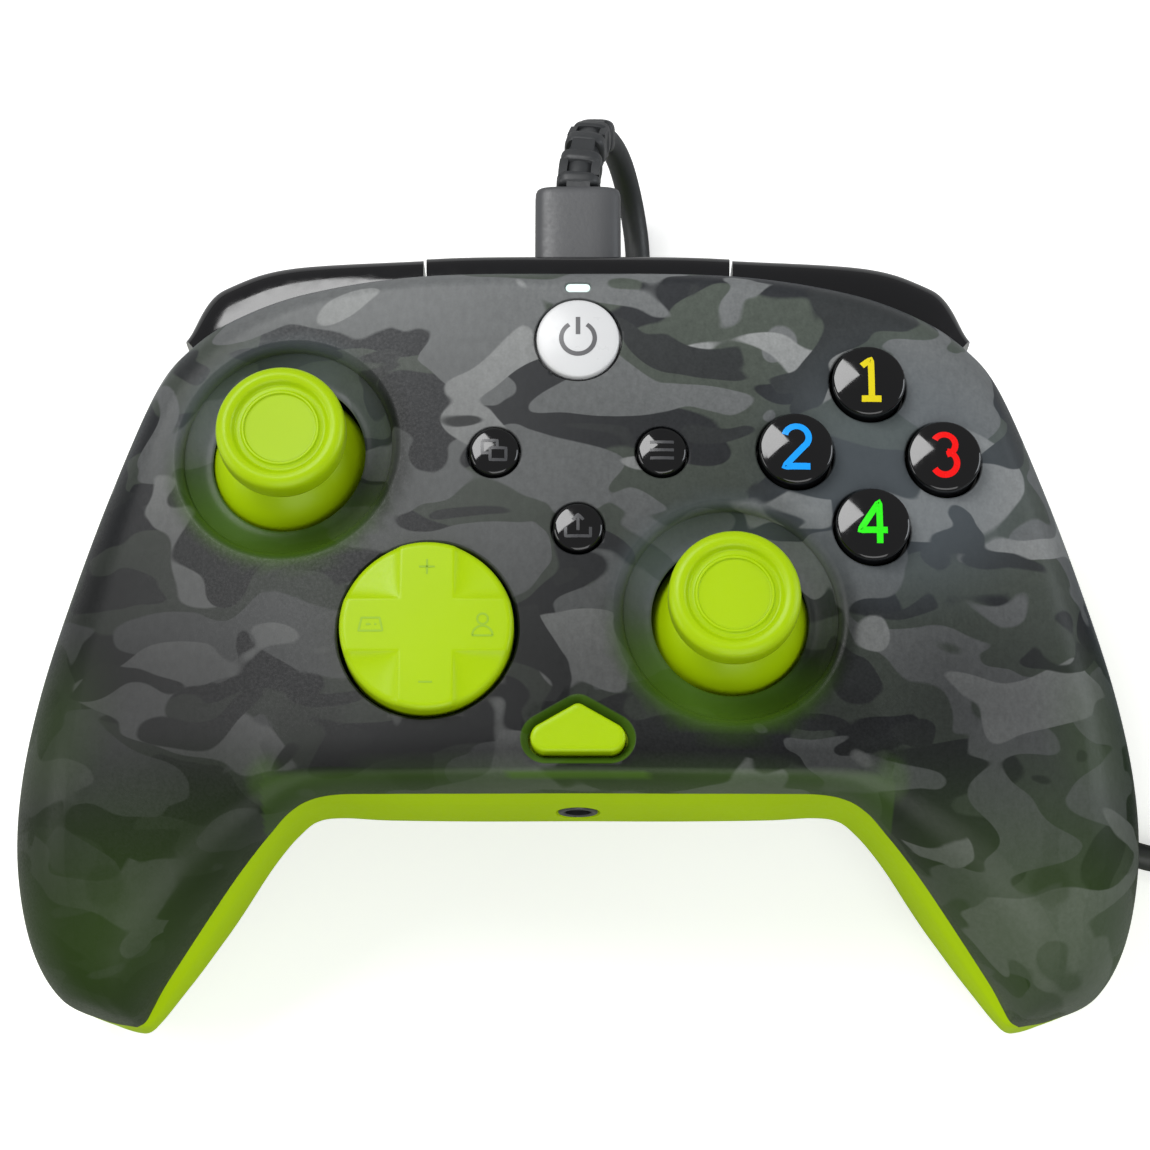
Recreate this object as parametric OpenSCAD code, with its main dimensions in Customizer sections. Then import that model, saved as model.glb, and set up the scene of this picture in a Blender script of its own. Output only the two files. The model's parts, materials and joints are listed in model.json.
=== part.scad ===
// Wired gamepad controller with a detachable USB-C lead, resting on its back. Millimetres, +Z up.

/* [Housing] */
// Half of the overall width
half_width = 77.9; // [74:0.1:82]
// Height of the middle of the face above the surface it rests on
face_height = 46; // [44:0.5:50]
// Fall of the face toward its sides, per square millimetre
crown = 0.0020; // [0.0015:0.0001:0.0024]
// Shell wall
wall = 2; // [1.6:0.1:2.4]
// Gap between the two shells along the seam
seam_gap = 0.2; // [0.1:0.05:0.4]
// Height of the bar and bumper band at the middle
band_height = 16.2; // [15.6:0.1:17]
// Top of the main board
board_top = 28.6; // [28:0.1:29.2]
// Thickness of the main board
board_thick = 1.6; // [1:0.2:2]

/* [Sticks] */
// Left stick centre, across and along
left_stick_x = -40; // [-41:0.5:-39]
left_stick_y = 23; // [22:0.5:24]
// Right stick centre, across and along
right_stick_x = 20.6; // [20:0.2:21.2]
right_stick_y = -0.9; // [-1.5:0.1:-0.3]
// Radius of the cap's top
stick_cap_radius = 8.8; // [8.4:0.1:9.2]
// Height of the cap's top over the face around it
stick_height = 9.5; // [9.25:0.25:10.5]
// Pivot depth under the face
stick_pivot_depth = 10.5; // [10.2:0.1:10.8]
// Skirt radius about the pivot
stick_skirt_radius = 11.4; // [11.2:0.1:11.6]
// Hole radius in the dish
stick_hole_radius = 10.2; // [10.1:0.1:10.6]
// Dish radius
dish_radius = 15.3; // [15:0.1:15.8]

/* [Buttons] */
// Face button cluster centre, across and along
cluster_x = 40; // [39:0.25:41]
cluster_y = 22; // [21.5:0.25:22.5]
// Distance of each face button from the cluster centre
cluster_radius = 10.3; // [10:0.1:10.7]
// Face button radius
face_button_radius = 5.05; // [4.8:0.05:5.2]
// Face button height over the face
face_button_height = 2.7; // [2.2:0.1:3.2]
// Face button travel
face_button_travel = 1.3; // [1:0.1:1.5]
// Small button radius
small_button_radius = 3.35; // [3:0.05:3.5]
// Small button height over the face
small_button_height = 1; // [0.6:0.1:1.4]
// Small button travel
small_button_travel = 0.6; // [0.4:0.1:0.8]
// Home button radius
home_radius = 5.7; // [5.3:0.1:6]
// Radial clearance of every button in its hole
button_clearance = 0.35; // [0.3:0.05:0.5]

/* [D-pad] */
// D-pad centre, across and along
dpad_x = -20.2; // [-20.6:0.1:-19.8]
dpad_y = -3.3; // [-3.8:0.1:-2.8]
// D-pad radius
dpad_radius = 11.65; // [11.2:0.05:11.9]
// Height of the cross over the face
dpad_height = 2.5; // [2:0.1:3]
// Radial clearance of the d-pad in its hole
dpad_clearance = 0.55; // [0.5:0.05:0.7]

/* [Triggers and bumpers] */
// Trigger pin radius
trigger_pin_radius = 1.5; // [1.3:0.1:1.7]
// Running clearance of the trigger on its pin
trigger_clearance = 0.08; // [0.05:0.01:0.1]
// Lowest point of the trigger blade
trigger_bottom = 10.5; // [10:0.25:12]
// Radius of the post each bumper turns on
bumper_post_radius = 1.5; // [1.3:0.1:1.7]
// Clearance of the bumper on its post
bumper_clearance = 0.1; // [0.08:0.01:0.1]
// Gap between bumper and centre bar
bumper_gap = 0.5; // [0.4:0.1:0.8]

/* [Inside] */
// Rumble motor radius
motor_radius = 6; // [5.5:0.1:6.4]
// Rumble weight radius
weight_radius = 6.3; // [5.5:0.1:6.5]
// Screw shank radius
screw_radius = 1.2; // [1:0.1:1.3]
// Headset jack bore radius
jack_bore = 1.75; // [1.7:0.05:1.8]

/* [Cable] */
// Cord radius
cord_radius = 1.9; // [1.7:0.05:2]
// Plug overmold width
plug_width = 12.4; // [12:0.1:12.8]
// Plug overmold thickness
plug_thick = 6.4; // [6:0.1:6.8]
// Distance between neighbouring turns of the coil
coil_pitch = 4.4; // [4.3:0.05:4.7]
// Outer radius of the coil, at the middle of the cord
coil_radius = 30.4; // [29:0.2:32]

/* [Hidden] */
$fn = 64;
e = 0.01;
wx = half_width / 77.9;

// Front shell rim: outer side from the middle of the back edge to the grip tip, x, y, z under the face
OUT = [[0, 49, -5], [22, 49, -6], [38, 47.2, -7.7], [48, 44.2, -9.5], [54.5, 40.5, -11.5], [59.5, 35, -14],
  [65.5, 21, -16.5], [70.7, 6.5, -19], [75, -7.5, -21.5], [77.5, -20, -24], [77.9, -31, -26],
  [76, -41.5, -28.5], [72, -48.5, -30.5], [66, -51.3, -32], [61.5, -52.2, -32.5]];
// and the inner side, from the middle of the front edge to the grip tip
INN = [[0, -24.6, -6], [14, -24.6, -6.2], [26, -24.5, -6.8], [32.5, -24.5, -7.4], [36.3, -25.2, -8.2],
  [39, -26.7, -9.5], [41.3, -28.8, -11.5], [43.8, -31.3, -13.7], [46.8, -34.6, -16.6], [50.3, -38.8, -20.2],
  [54, -43.4, -24], [57.2, -47.3, -27.8], [59, -49.8, -30.4], [60.2, -51.5, -31.8], [61.5, -52.2, -32.5]];
// Widest line of the back shell on the same two sides
OUTB = [[0, 49, -24], [22, 49, -24], [38, 47.2, -24.5], [48, 44.2, -25], [54.3, 40.3, -25], [59.2, 34.8, -25],
  [65.2, 20.9, -26], [70.4, 6.4, -27], [74.6, -7.5, -28], [77.1, -20, -29.5], [77.5, -31, -31],
  [75.6, -41.3, -33], [71.7, -48.2, -34], [65.8, -51, -35], [61.4, -52.3, -35.5]];
INNB = [[0, -25.6, -18], [14, -25.6, -18.2], [26, -25.4, -18.6], [32.5, -25, -19.2], [36.1, -25.4, -20.2],
  [38.7, -27.1, -21.8], [41, -29.3, -23.5], [43.4, -32, -25.6], [46.2, -35.6, -28], [49.5, -40, -30],
  [53, -44.5, -32], [56.3, -48.4, -33.6], [58.4, -50.7, -34.6], [59.9, -52, -35.2], [61.4, -52.3, -35.5]];
LAST = 14;
// Width of the rounding from rim to face: at the outer side and at the inner side
EDGE_O = [3.5, 3.5, 4, 5, 6, 7, 8, 8.5, 9, 10, 10, 10, 8, 5, 2];
EDGE_I = [2.5, 2.5, 2.5, 3, 3.5, 4.5, 5.5, 6.5, 8, 9, 9.5, 9, 7, 4, 2];
UNDER_O = [7, 7, 7, 8, 9, 10, 11, 12, 12, 12, 11, 10, 8, 5, 2];
UNDER_I = [6, 6, 6, 6, 6.5, 7, 8, 9, 10, 11, 11, 10, 7, 4, 2];

function lerp(a, b, t) = a + (b - a) * t;
function clamp01(t) = max(0, min(1, t));
function smooth(a, b, v) = let(t = clamp01((v - a) / (b - a))) t * t * (3 - 2 * t);
function mirrored(p) = is_list(p) ? [-p[0], p[1], p[2]] : p;
function at(P, i) = i < 0 ? mirrored(P[-i]) : i > len(P) - 1 ? 2 * P[len(P) - 1] - P[len(P) - 2] : P[i];
// A smooth curve through the points of a list, at place u along it
function curve(P, u) = let(i = min(floor(u), len(P) - 2), t = u - i, a = at(P, i - 1), b = at(P, i),
  c = at(P, i + 1), d = at(P, i + 2))
  0.5 * (2 * b + (c - a) * t + (2 * a - 5 * b + 4 * c - d) * t * t + (3 * b - a - 3 * c + d) * t * t * t);
function side(P, u) = let(p = curve(P, abs(u))) [(u < 0 ? -1 : 1) * p[0] * wx, p[1], p[2] + face_height];
function unit2(v) = let(n = max(norm([v[0], v[1]]), 1e-6)) [v[0] / n, v[1] / n];

// Height of the outer face, and of the underside
function face_z(x, y) = face_height - crown * x * x - 0.010 * pow(max(0, -16 - y), 2);
function base_z(y) = 18 - 6 * smooth(-20, 15, y);
function hump(x, y) = smooth(36, 26, abs(x)) * smooth(-12, 2, y) * smooth(45, 34, y);
function grip(x, y) = smooth(-8, -40, y) * smooth(34, 50, abs(x));
function under_z(x, y) = base_z(y) * (1 - hump(x, y)) * (1 - grip(x, y));
// How far a chord of the given length fills out, so that the grip ends close in a round tip
function full(l) = let(t = clamp01(l / 26)) sqrt(1 - (1 - t) * (1 - t));

// One section of the front shell's skin, moved in by w
function front_section(u, w) =
  let(o = side(OUT, u), i = side(INN, u), d = unit2(i - o), l0 = norm([i[0] - o[0], i[1] - o[1]]),
    w1 = min(w, 0.3 * l0), l = l0 - 2 * w1, a = [o[0] + d[0] * w1, o[1] + d[1] * w1],
    eo = min(max(curve(EDGE_O, abs(u)) - 0.4 * w1, 0.8), 0.42 * l),
    ei = min(max(curve(EDGE_I, abs(u)) - 0.4 * w1, 0.8), 0.42 * l), f = full(l0))
  concat(
    [for (k = [0:4]) let(s = eo * (1 - cos(k * 22.5)), x = a[0] + d[0] * s, y = a[1] + d[1] * s)
      [x, y, o[2] + ((face_z(x, y) - w - o[2]) * f) * sin(k * 22.5)]],
    [for (k = [1:6]) let(s = lerp(eo, l - ei, k / 7), x = a[0] + d[0] * s, y = a[1] + d[1] * s,
        r = lerp(o[2], i[2], k / 7))
      [x, y, r + (face_z(x, y) - w - r) * f]],
    [for (k = [4:-1:0]) let(s = l - ei * (1 - cos(k * 22.5)), x = a[0] + d[0] * s, y = a[1] + d[1] * s)
      [x, y, i[2] + ((face_z(x, y) - w - i[2]) * f) * sin(k * 22.5)]]);

BUMPER_END = 3.95;
// Where the back shell's rim steps down to make room for the bumper
RIM_STEP = [BUMPER_END + 0.2, BUMPER_END + 0.24];
// Height of the bar and bumper band at place u
function band(u) = lerp(band_height, band_height - 3.6, clamp01(abs(u) / 4));
function back_rim(u) = let(t = smooth(RIM_STEP[1], RIM_STEP[0], abs(u))) lerp(seam_gap, band(u) + 0.7, t);

// One section of the back shell's skin, moved in by w; v is the place whose rim height it takes
function back_section(u, w, v) =
  let(o = side(OUT, u), i = side(INN, u), bo = side(OUTB, u), bi = side(INNB, u), d = unit2(bi - bo),
    l0 = norm([bi[0] - bo[0], bi[1] - bo[1]]), w1 = min(w, 0.3 * l0), l = l0 - 2 * w1,
    a = [bo[0] + d[0] * w1, bo[1] + d[1] * w1], zo = o[2] - back_rim(v), zi = i[2] - seam_gap,
    bzo = min(bo[2], zo - 1.2), f = full(l0),
    eo = min(max(curve(UNDER_O, abs(u)) - 0.4 * w1, 1), 0.42 * l),
    ei = min(max(curve(UNDER_I, abs(u)) - 0.4 * w1, 1), 0.42 * l),
    q = [o[0] + d[0] * w1, o[1] + d[1] * w1], p = [i[0] - d[0] * w1, i[1] - d[1] * w1],
    b = [bi[0] - d[0] * w1, bi[1] - d[1] * w1])
  concat(
    [[q[0], q[1], zo]],
    [[lerp(q[0], a[0], 0.7), lerp(q[1], a[1], 0.7), lerp(zo, bzo, 0.4)]],
    [for (k = [0:3]) let(s = eo * (1 - cos(k * 30)), x = a[0] + d[0] * s, y = a[1] + d[1] * s)
      [x, y, bzo - ((bzo - under_z(x, y) - 1.4 * w) * f) * sin(k * 30)]],
    [for (k = [1:8]) let(s = lerp(eo, l - ei, k / 9), x = a[0] + d[0] * s, y = a[1] + d[1] * s,
        r = lerp(bzo, bi[2], k / 9))
      [x, y, r - (r - under_z(x, y) - 1.4 * w) * f]],
    [for (k = [3:-1:0]) let(s = l - ei * (1 - cos(k * 30)), x = a[0] + d[0] * s, y = a[1] + d[1] * s)
      [x, y, bi[2] - ((bi[2] - under_z(x, y) - 1.4 * w) * f) * sin(k * 30)]],
    [[lerp(p[0], b[0], 0.7), lerp(p[1], b[1], 0.7), lerp(zi, bi[2], 0.4)]],
    [[p[0], p[1], zi]]);

// Triangles of a closed shell: outer skin, inner skin and the rim that joins them
function skin(n, m, k, flip) = let(
    g = concat(
      [for (s = [0:n - 2]) for (r = [0:m - 2]) let(a = k + s * m + r) each
        [[a, a + m, a + m + 1], [a, a + m + 1, a + 1]]],
      [for (r = [0:m - 2]) [k + n * m, k + r, k + r + 1]],
      [for (r = [0:m - 2]) let(a = k + (n - 1) * m + r) [a, k + n * m + 1, a + 1]]))
  flip ? [for (t = g) [t[0], t[2], t[1]]] : g;
function strip(P, k, flip) = [for (s = [0:len(P) - 2]) each flip
  ? [[P[s], P[s + 1], P[s + 1] + k], [P[s], P[s + 1] + k, P[s] + k]]
  : [[P[s], P[s + 1] + k, P[s + 1]], [P[s], P[s] + k, P[s + 1] + k]]];
function edge(n, m, r) = concat([n * m], [for (s = [0:n - 1]) s * m + r], [n * m + 1]);
function shell_faces(n, m, down) = let(k = n * m + 2) concat(
  skin(n, m, 0, down), skin(n, m, k, !down), strip(edge(n, m, 0), k, down), strip(edge(n, m, m - 1), k, !down));
STATIONS = concat([for (s = [-27:-9]) s / 2], [-RIM_STEP[1], -RIM_STEP[0]], [for (s = [-8:8]) s / 2],
  [RIM_STEP[0], RIM_STEP[1]], [for (s = [9:27]) s / 2]);
function tips(P, w) = [let(p = side(P, -LAST)) [p[0] + 1.5 * w, p[1] + 2 * w, p[2]],
  let(p = side(P, LAST)) [p[0] - 1.5 * w, p[1] + 2 * w, p[2]]];
INSET_SCALE = 0.93;
END_STATION = STATIONS[len(STATIONS) - 1];

module front_skin() {
  outer = [for (u = STATIONS) each front_section(u, 0)];
  inner = [for (u = STATIONS) each front_section(u * INSET_SCALE, wall)];
  last = front_section(END_STATION * INSET_SCALE, wall);
  mid = (last[0] + last[len(last) - 1]) / 2;
  end = [mid[0], mid[1] - 0.4, mid[2]];
  polyhedron(concat(outer, tips(OUT, 0), inner, [[-end[0], end[1], end[2]], end]),
    shell_faces(len(STATIONS), len(front_section(0, 0)), false));
}
module back_skin() {
  outer = [for (u = STATIONS) each back_section(u, 0, u)];
  inner = [for (u = STATIONS) each back_section(u * INSET_SCALE, wall, u)];
  last = back_section(END_STATION * INSET_SCALE, wall, LAST);
  mid = (last[0] + last[len(last) - 1]) / 2;
  end = [mid[0], mid[1] - 0.4, mid[2]];
  low = [for (p = tips(OUT, 0)) [p[0], p[1], p[2] - seam_gap]];
  polyhedron(concat(outer, low, inner, [[-end[0], end[1], end[2]], end]),
    shell_faces(len(STATIONS), len(back_section(0, 0, 0)), true));
}

// Places that several pieces share
FACE_BUTTONS = [[cluster_x, cluster_y + cluster_radius], [cluster_x - cluster_radius, cluster_y],
  [cluster_x + cluster_radius, cluster_y], [cluster_x, cluster_y - cluster_radius]];
HOME = [0, 37.8];
VIEW = [-11.4, 21.5];
MENU = [11.4, 21.5];
SHARE = [0, 10.6];
FUNCTION = [0, -17];
LIGHT = [0, 45.6];
BOARD_SCREWS = [[-10, 30.5], [10, 30.5], [-1.5, -8.6], [-23, 12.2]];
SHELL_SCREWS = [[-19.3, 23.5], [19.3, 23.5]];
GRIP_SCREWS = [[-64, -35.5], [64, -35.5]];
grip_post_z = 21;
post_z = board_top - board_thick - 1;
plug_z = board_top + 1.65;
jack_z = board_top + 2.75;
jack_y = -25.4;
motor_x = 61;
motor_z = 27;
trigger_y = 36.5;
trigger_z = 19.6;
bumper_x = 26.5;
bumper_y = 44;
function zf(p) = face_z(p[0], p[1]);
function tilt(x) = -atan(2 * crown * x);
LS = [left_stick_x, left_stick_y];
RS = [right_stick_x, right_stick_y];
DP = [dpad_x, dpad_y];

module at_face(p, dz = 0) translate([p[0], p[1], zf(p) + dz]) children();
module both() { children(); mirror([1, 0, 0]) children(); }

// Dish round a stick, leaned to lie in the face
module dish(p) at_face(p) rotate([0, -tilt(p[0]), 0]) rotate_extrude($fn = 96)
  polygon([[dish_radius + 0.8, -1], [dish_radius - 0.2, -1], [13, -3.3], [11.9, -3.9], [10, -4.1],
    [10, -5.4], [13.6, -5], [dish_radius + 0.8, -2.2]]);
module post(p, r, z0, z1) translate([p[0], p[1], z0]) cylinder(r = r, h = z1 - z0, $fn = 32);

// Outline of the function button, grown by g
module function_outline(g) {
  for (q = [[-4.3, -1.4, 2], [4.3, -1.4, 2], [0, 2, 1.2]])
    translate([q[0], q[1]]) circle(r = q[2] + g, $fn = 48);
  polygon([[-4.3, -3.4 - g], [4.3, -3.4 - g], [5.28 + 0.55 * g, 0.34 + 0.84 * g],
    [0.65 + 0.55 * g, 3 + 0.84 * g], [-0.65 - 0.55 * g, 3 + 0.84 * g],
    [-5.28 - 0.55 * g, 0.34 + 0.84 * g]]);
}

module front_shell() color("DimGray") {
  difference() {
    union() {
      difference() {
        front_skin();
        for (p = [LS, RS]) at_face(p) rotate([0, -tilt(p[0]), 0]) translate([0, 0, -8])
          cylinder(r = dish_radius, h = 14, $fn = 96);
      }
      for (p = [LS, RS]) dish(p);
      for (p = BOARD_SCREWS) post(p, 2.8, board_top, zf(p) - wall / 2);
      for (p = SHELL_SCREWS) post(p, 2.8, post_z, zf(p) - wall / 2);
      for (p = GRIP_SCREWS) post(p, 3.2, grip_post_z, zf(p) - wall - 0.7);
      for (s = [-1, 1]) post([s * bumper_x, bumper_y], bumper_post_radius, 31, zf([bumper_x, bumper_y]) - 0.8);
    }
    for (p = [LS, RS]) at_face(p) {
      translate([0, 0, -20]) cylinder(r = stick_hole_radius, h = 40, $fn = 96);
      translate([0, 0, -stick_pivot_depth]) sphere(r = stick_skirt_radius + 0.45, $fn = 96);
    }
    for (p = FACE_BUTTONS) at_face(p, -8) cylinder(r = face_button_radius + button_clearance, h = 16);
    for (p = [VIEW, MENU, SHARE]) at_face(p, -8) cylinder(r = small_button_radius + button_clearance, h = 16);
    at_face(HOME, -8) cylinder(r = home_radius + button_clearance, h = 16);
    at_face(DP, -8) cylinder(r = dpad_radius + dpad_clearance, h = 16, $fn = 96);
    at_face(FUNCTION, -8) linear_extrude(16) function_outline(button_clearance);
    at_face(LIGHT, -8) light_hole(0.1, 16);
    for (p = BOARD_SCREWS) post(p, screw_radius + 0.05, board_top - 1, board_top + 6);
    for (p = SHELL_SCREWS) post(p, screw_radius + 0.05, post_z - 1, post_z + 9);
    for (p = GRIP_SCREWS) post(p, screw_radius + 0.05, grip_post_z - 1, grip_post_z + 8);
  }
}
module light_hole(g, h) {
  for (s = [-1, 1]) translate([1.1 * s, 0, 0]) cylinder(r = 0.6 + g, h = h, $fn = 24);
  translate([-1.1, -0.6 - g, 0]) cube([2.2, 1.2 + 2 * g, h]);
}
module light_pipe() color("Azure") {
  at_face(LIGHT, -9.2) light_hole(0, 8.7);
  at_face(LIGHT, -9.8) translate([-2.6, -1.3, 0]) cube([5.2, 2.6, 1.6]);
}

// Opening of the back shell that a trigger works in
module trigger_window() {
  translate([26.6, 39.6, 4]) cube([26.2, 20, 40]);
  translate([48.8, 37.4, 14]) cube([4, 4, 30]);
}
module lug(x, t) difference() {
  z = under_z(x + t / 2, trigger_y) + 0.8 * wall;
  translate([x, trigger_y - 3.4, z]) cube([t, 6.1, trigger_z - z]);
  translate([x - 1, trigger_y, trigger_z]) rotate([0, 90, 0])
    cylinder(r = trigger_pin_radius + 1, h = t + 2, $fn = 32);
}
module lug_eye(x, t) translate([x, trigger_y, trigger_z]) rotate([0, 90, 0]) difference() {
  cylinder(r = 3.3, h = t, $fn = 40);
  translate([0, 0, -1]) cylinder(r = trigger_pin_radius, h = t + 2, $fn = 40);
}
module cradle(y) difference() {
  z = under_z(motor_x, y + 1) + 0.9 * wall;
  translate([motor_x - 4.5, y, z]) cube([9, 2, motor_z - 1.1 - z]);
  translate([motor_x, y - 1, motor_z]) rotate([-90, 0, 0]) cylinder(r = motor_radius + 0.05, h = 4, $fn = 64);
}
module back_shell() color("YellowGreen") {
  difference() {
    union() {
      difference() {
        back_skin();
        both() trigger_window();
      }
      both() for (x = [29.6, 46.4]) { lug(x, 2); lug_eye(x, 2); }
      both() for (y = [-27.5, -18.5]) cradle(y);
      for (p = SHELL_SCREWS) post(p, 3.2, under_z(p[0], p[1]) + 1, post_z - 0.05);
      for (p = GRIP_SCREWS) post(p, 3.4, under_z(p[0], p[1]) + 1, grip_post_z - 0.05);
      for (s = [-1, 1]) post([s * 8.5, 8], 2.4, under_z(8.5, 8) + 1, board_top - board_thick);
    }
    translate([0, jack_y + 6, jack_z]) rotate([90, 0, 0]) cylinder(r = 2.75, h = 12, $fn = 48);
    for (p = SHELL_SCREWS) { post(p, 1.6, -1, 40); post(p, 2.6, -1, post_z - 8); }
    for (p = GRIP_SCREWS) { post(p, 1.6, -1, 40); post(p, 2.6, -1, grip_post_z - 8); }
  }
}

// A band swept along the back edge from place u0 to u1; its section is in mm outward and up from the rim
function out_normal(u) = let(a = side(OUT, u - 0.02), b = side(OUT, u + 0.02), t = unit2(b - a)) [-t[1], t[0]];
function band_points(u, top) = let(o = side(OUT, u), n = out_normal(u), b = band(u),
    w = 1 + 0.55 * smooth(1.1, 2.6, abs(u)) - 0.87 * smooth(3, 4, abs(u)),
    v = 1 - 1.15 * smooth(3.3, 3.9, abs(u)),
    q = [[-1.8, top], [0.4, top], [3.1, top - 0.7], [4.3, top - 2.3], [4.6, -5.5], [4.3, -b + 3.5],
      [3.2, -b + 0.5], [2, -b], [-1.8, -b], [-1.8, -b + 1.8], [1.6, -b + 1.9], [2.3, -b + 4],
      [2.6, -5.5], [2.2, top - 2.9], [1.2, top - 2.2], [-1.8, top - 2]])
  [for (p = q) let(x = p[0] * (p[0] > 0 ? w : v)) [o[0] + n[0] * x, o[1] + n[1] * x, o[2] + p[1]]];
BAND_CAP = [[0, 1, 15], [1, 14, 15], [1, 2, 14], [2, 13, 14], [2, 3, 13], [3, 4, 13], [4, 12, 13], [4, 5, 12],
  [5, 11, 12], [5, 6, 11], [6, 10, 11], [6, 7, 10], [7, 8, 10], [8, 9, 10]];
// The triangles of a section that closes a sweep, counted from vertex k
function cap(T, k, flip) = [for (t = T) flip ? [k + t[0], k + t[2], k + t[1]] : [k + t[0], k + t[1], k + t[2]]];
module band_sweep(us, top) {
  n = len(us);
  m = 16;
  polyhedron([for (u = us) each band_points(u, top)], concat(
    [for (s = [0:n - 2]) for (r = [0:m - 1]) let(a = s * m + r, b = s * m + (r + 1) % m) each
      [[a, b, b + m], [a, b + m, a + m]]],
    cap(BAND_CAP, 0, true), cap(BAND_CAP, (n - 1) * m, false)));
}
gap_u = 0.975;
module centre_bar() color("Black") difference() {
  band_sweep([for (k = [-6:6]) k / 6 * (gap_u - bumper_gap / 44)], -0.1);
  port(0.4, 44, 60);
}
module port(g, y0, y1) translate([0, y0, plug_z]) rotate([-90, 0, 0]) linear_extrude(y1 - y0) plug_outline(g);
module plug_outline(g) {
  r = plug_thick / 2 + g;
  for (s = [-1, 1]) translate([s * (plug_width - plug_thick) / 2, 0]) circle(r = r, $fn = 48);
  square([plug_width - plug_thick, 2 * r], center = true);
}
module one_bumper() {
  band_sweep([for (k = [0:12]) lerp(gap_u + bumper_gap / 44, BUMPER_END, k / 12)], -0.7);
  difference() {
    union() {
      translate([bumper_x, bumper_y, 32.4]) cylinder(r = 3.2, h = 2.6, $fn = 40);
      translate([bumper_x - 2.5, bumper_y, 32.4]) cube([5, 8.6, 2.6]);
    }
    translate([bumper_x, bumper_y, 31]) cylinder(r = bumper_post_radius + bumper_clearance, h = 6, $fn = 40);
  }
  translate([45.4, 42.4, 30]) cube([3, 8.2, 2]);
}
module right_bumper() color("Black") one_bumper();
module left_bumper() color("Black") mirror([1, 0, 0]) one_bumper();

// Trigger: a blade swept across, with an arm to the hub on its pin
function trigger_section(x, k) = let(u = lerp(1.2, 3.5, (x - 27.4) / 24.4), o = side(OUT, u),
    top = o[2] - band(u) - 1.5, b = trigger_bottom, y = o[1] - (1 - k) * 2.4, h = top - b,
    c = b + h * 0.5, v = lerp(0.82, 1, k))
  [for (q = [[-3.2, 1], [1.2, 0.98], [3.1, 0.82], [3.9, 0.55], [3.6, 0.28], [2.4, 0.08], [0.6, 0], [-0.5, 0.03],
      [0.6, 0.22], [1.1, 0.45], [0.7, 0.66], [-0.6, 0.76], [-3.2, 0.78]])
    [x, y + q[0] * v, c + (b + h * q[1] - c) * v]];
TRIGGER_CAP = [[0, 1, 12], [1, 11, 12], [1, 10, 11], [1, 2, 10], [2, 9, 10], [2, 3, 9], [3, 4, 9], [4, 8, 9],
  [4, 5, 8], [5, 6, 8], [6, 7, 8]];
TX = [27.4, 27.9, 29, 31, 35, 39.5, 44, 48, 50.4, 51.4, 51.8];
TK = [0, 0.5, 0.85, 1, 1, 1, 1, 1, 0.85, 0.5, 0];
module one_trigger() {
  m = 13;
  n = len(TX);
  polyhedron([for (s = [0:n - 1]) each trigger_section(TX[s], TK[s])], concat(
    [for (s = [0:n - 2]) for (r = [0:m - 1]) let(a = s * m + r, b = s * m + (r + 1) % m) each
      [[a, b, b + m], [a, b + m, a + m]]],
    cap(TRIGGER_CAP, 0, true), cap(TRIGGER_CAP, (n - 1) * m, false)));
  difference() {
    union() {
      translate([33.2, trigger_y, trigger_z]) rotate([0, 90, 0]) cylinder(r = 2.9, h = 12.4, $fn = 48);
      translate([33.2, trigger_y, trigger_z - 0.6]) cube([12.4, 8, 2.6]);
    }
    translate([30, trigger_y, trigger_z]) rotate([0, 90, 0])
      cylinder(r = trigger_pin_radius + trigger_clearance, h = 20, $fn = 48);
  }
}
module right_trigger() color("DarkSlateGray") one_trigger();
module left_trigger() color("DarkSlateGray") mirror([1, 0, 0]) one_trigger();
module pin() translate([29.6, trigger_y, trigger_z]) rotate([0, 90, 0])
  cylinder(r = trigger_pin_radius, h = 18.8, $fn = 48);
module right_trigger_pin() color("Silver") pin();
module left_trigger_pin() color("Silver") mirror([1, 0, 0]) pin();
// Return spring: three curls round the pin beside the hub
module spring() for (k = [0:2]) translate([31.9 + 0.4 * k, trigger_y, trigger_z]) rotate([0, 90, 0])
  rotate_extrude($fn = 48) translate([trigger_pin_radius + 0.55, 0]) circle(r = 0.22, $fn = 16);
module right_trigger_spring() color("Silver") spring();
module left_trigger_spring() color("Silver") mirror([1, 0, 0]) spring();

// Main board with room for the posts that pass it
module main_board() color("DarkGreen") translate([0, 0, board_top - board_thick])
  linear_extrude(board_thick) difference() {
  union() {
    translate([-50, 6]) square([100, 34]);
    translate([-34, -22]) square([68, 42]);
    translate([-12, 30]) square([24, 16.6]);
  }
  for (p = SHELL_SCREWS) translate(p) circle(r = 3.6, $fn = 40);
  for (p = BOARD_SCREWS) translate(p) circle(r = screw_radius + 0.1, $fn = 32);
}

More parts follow.
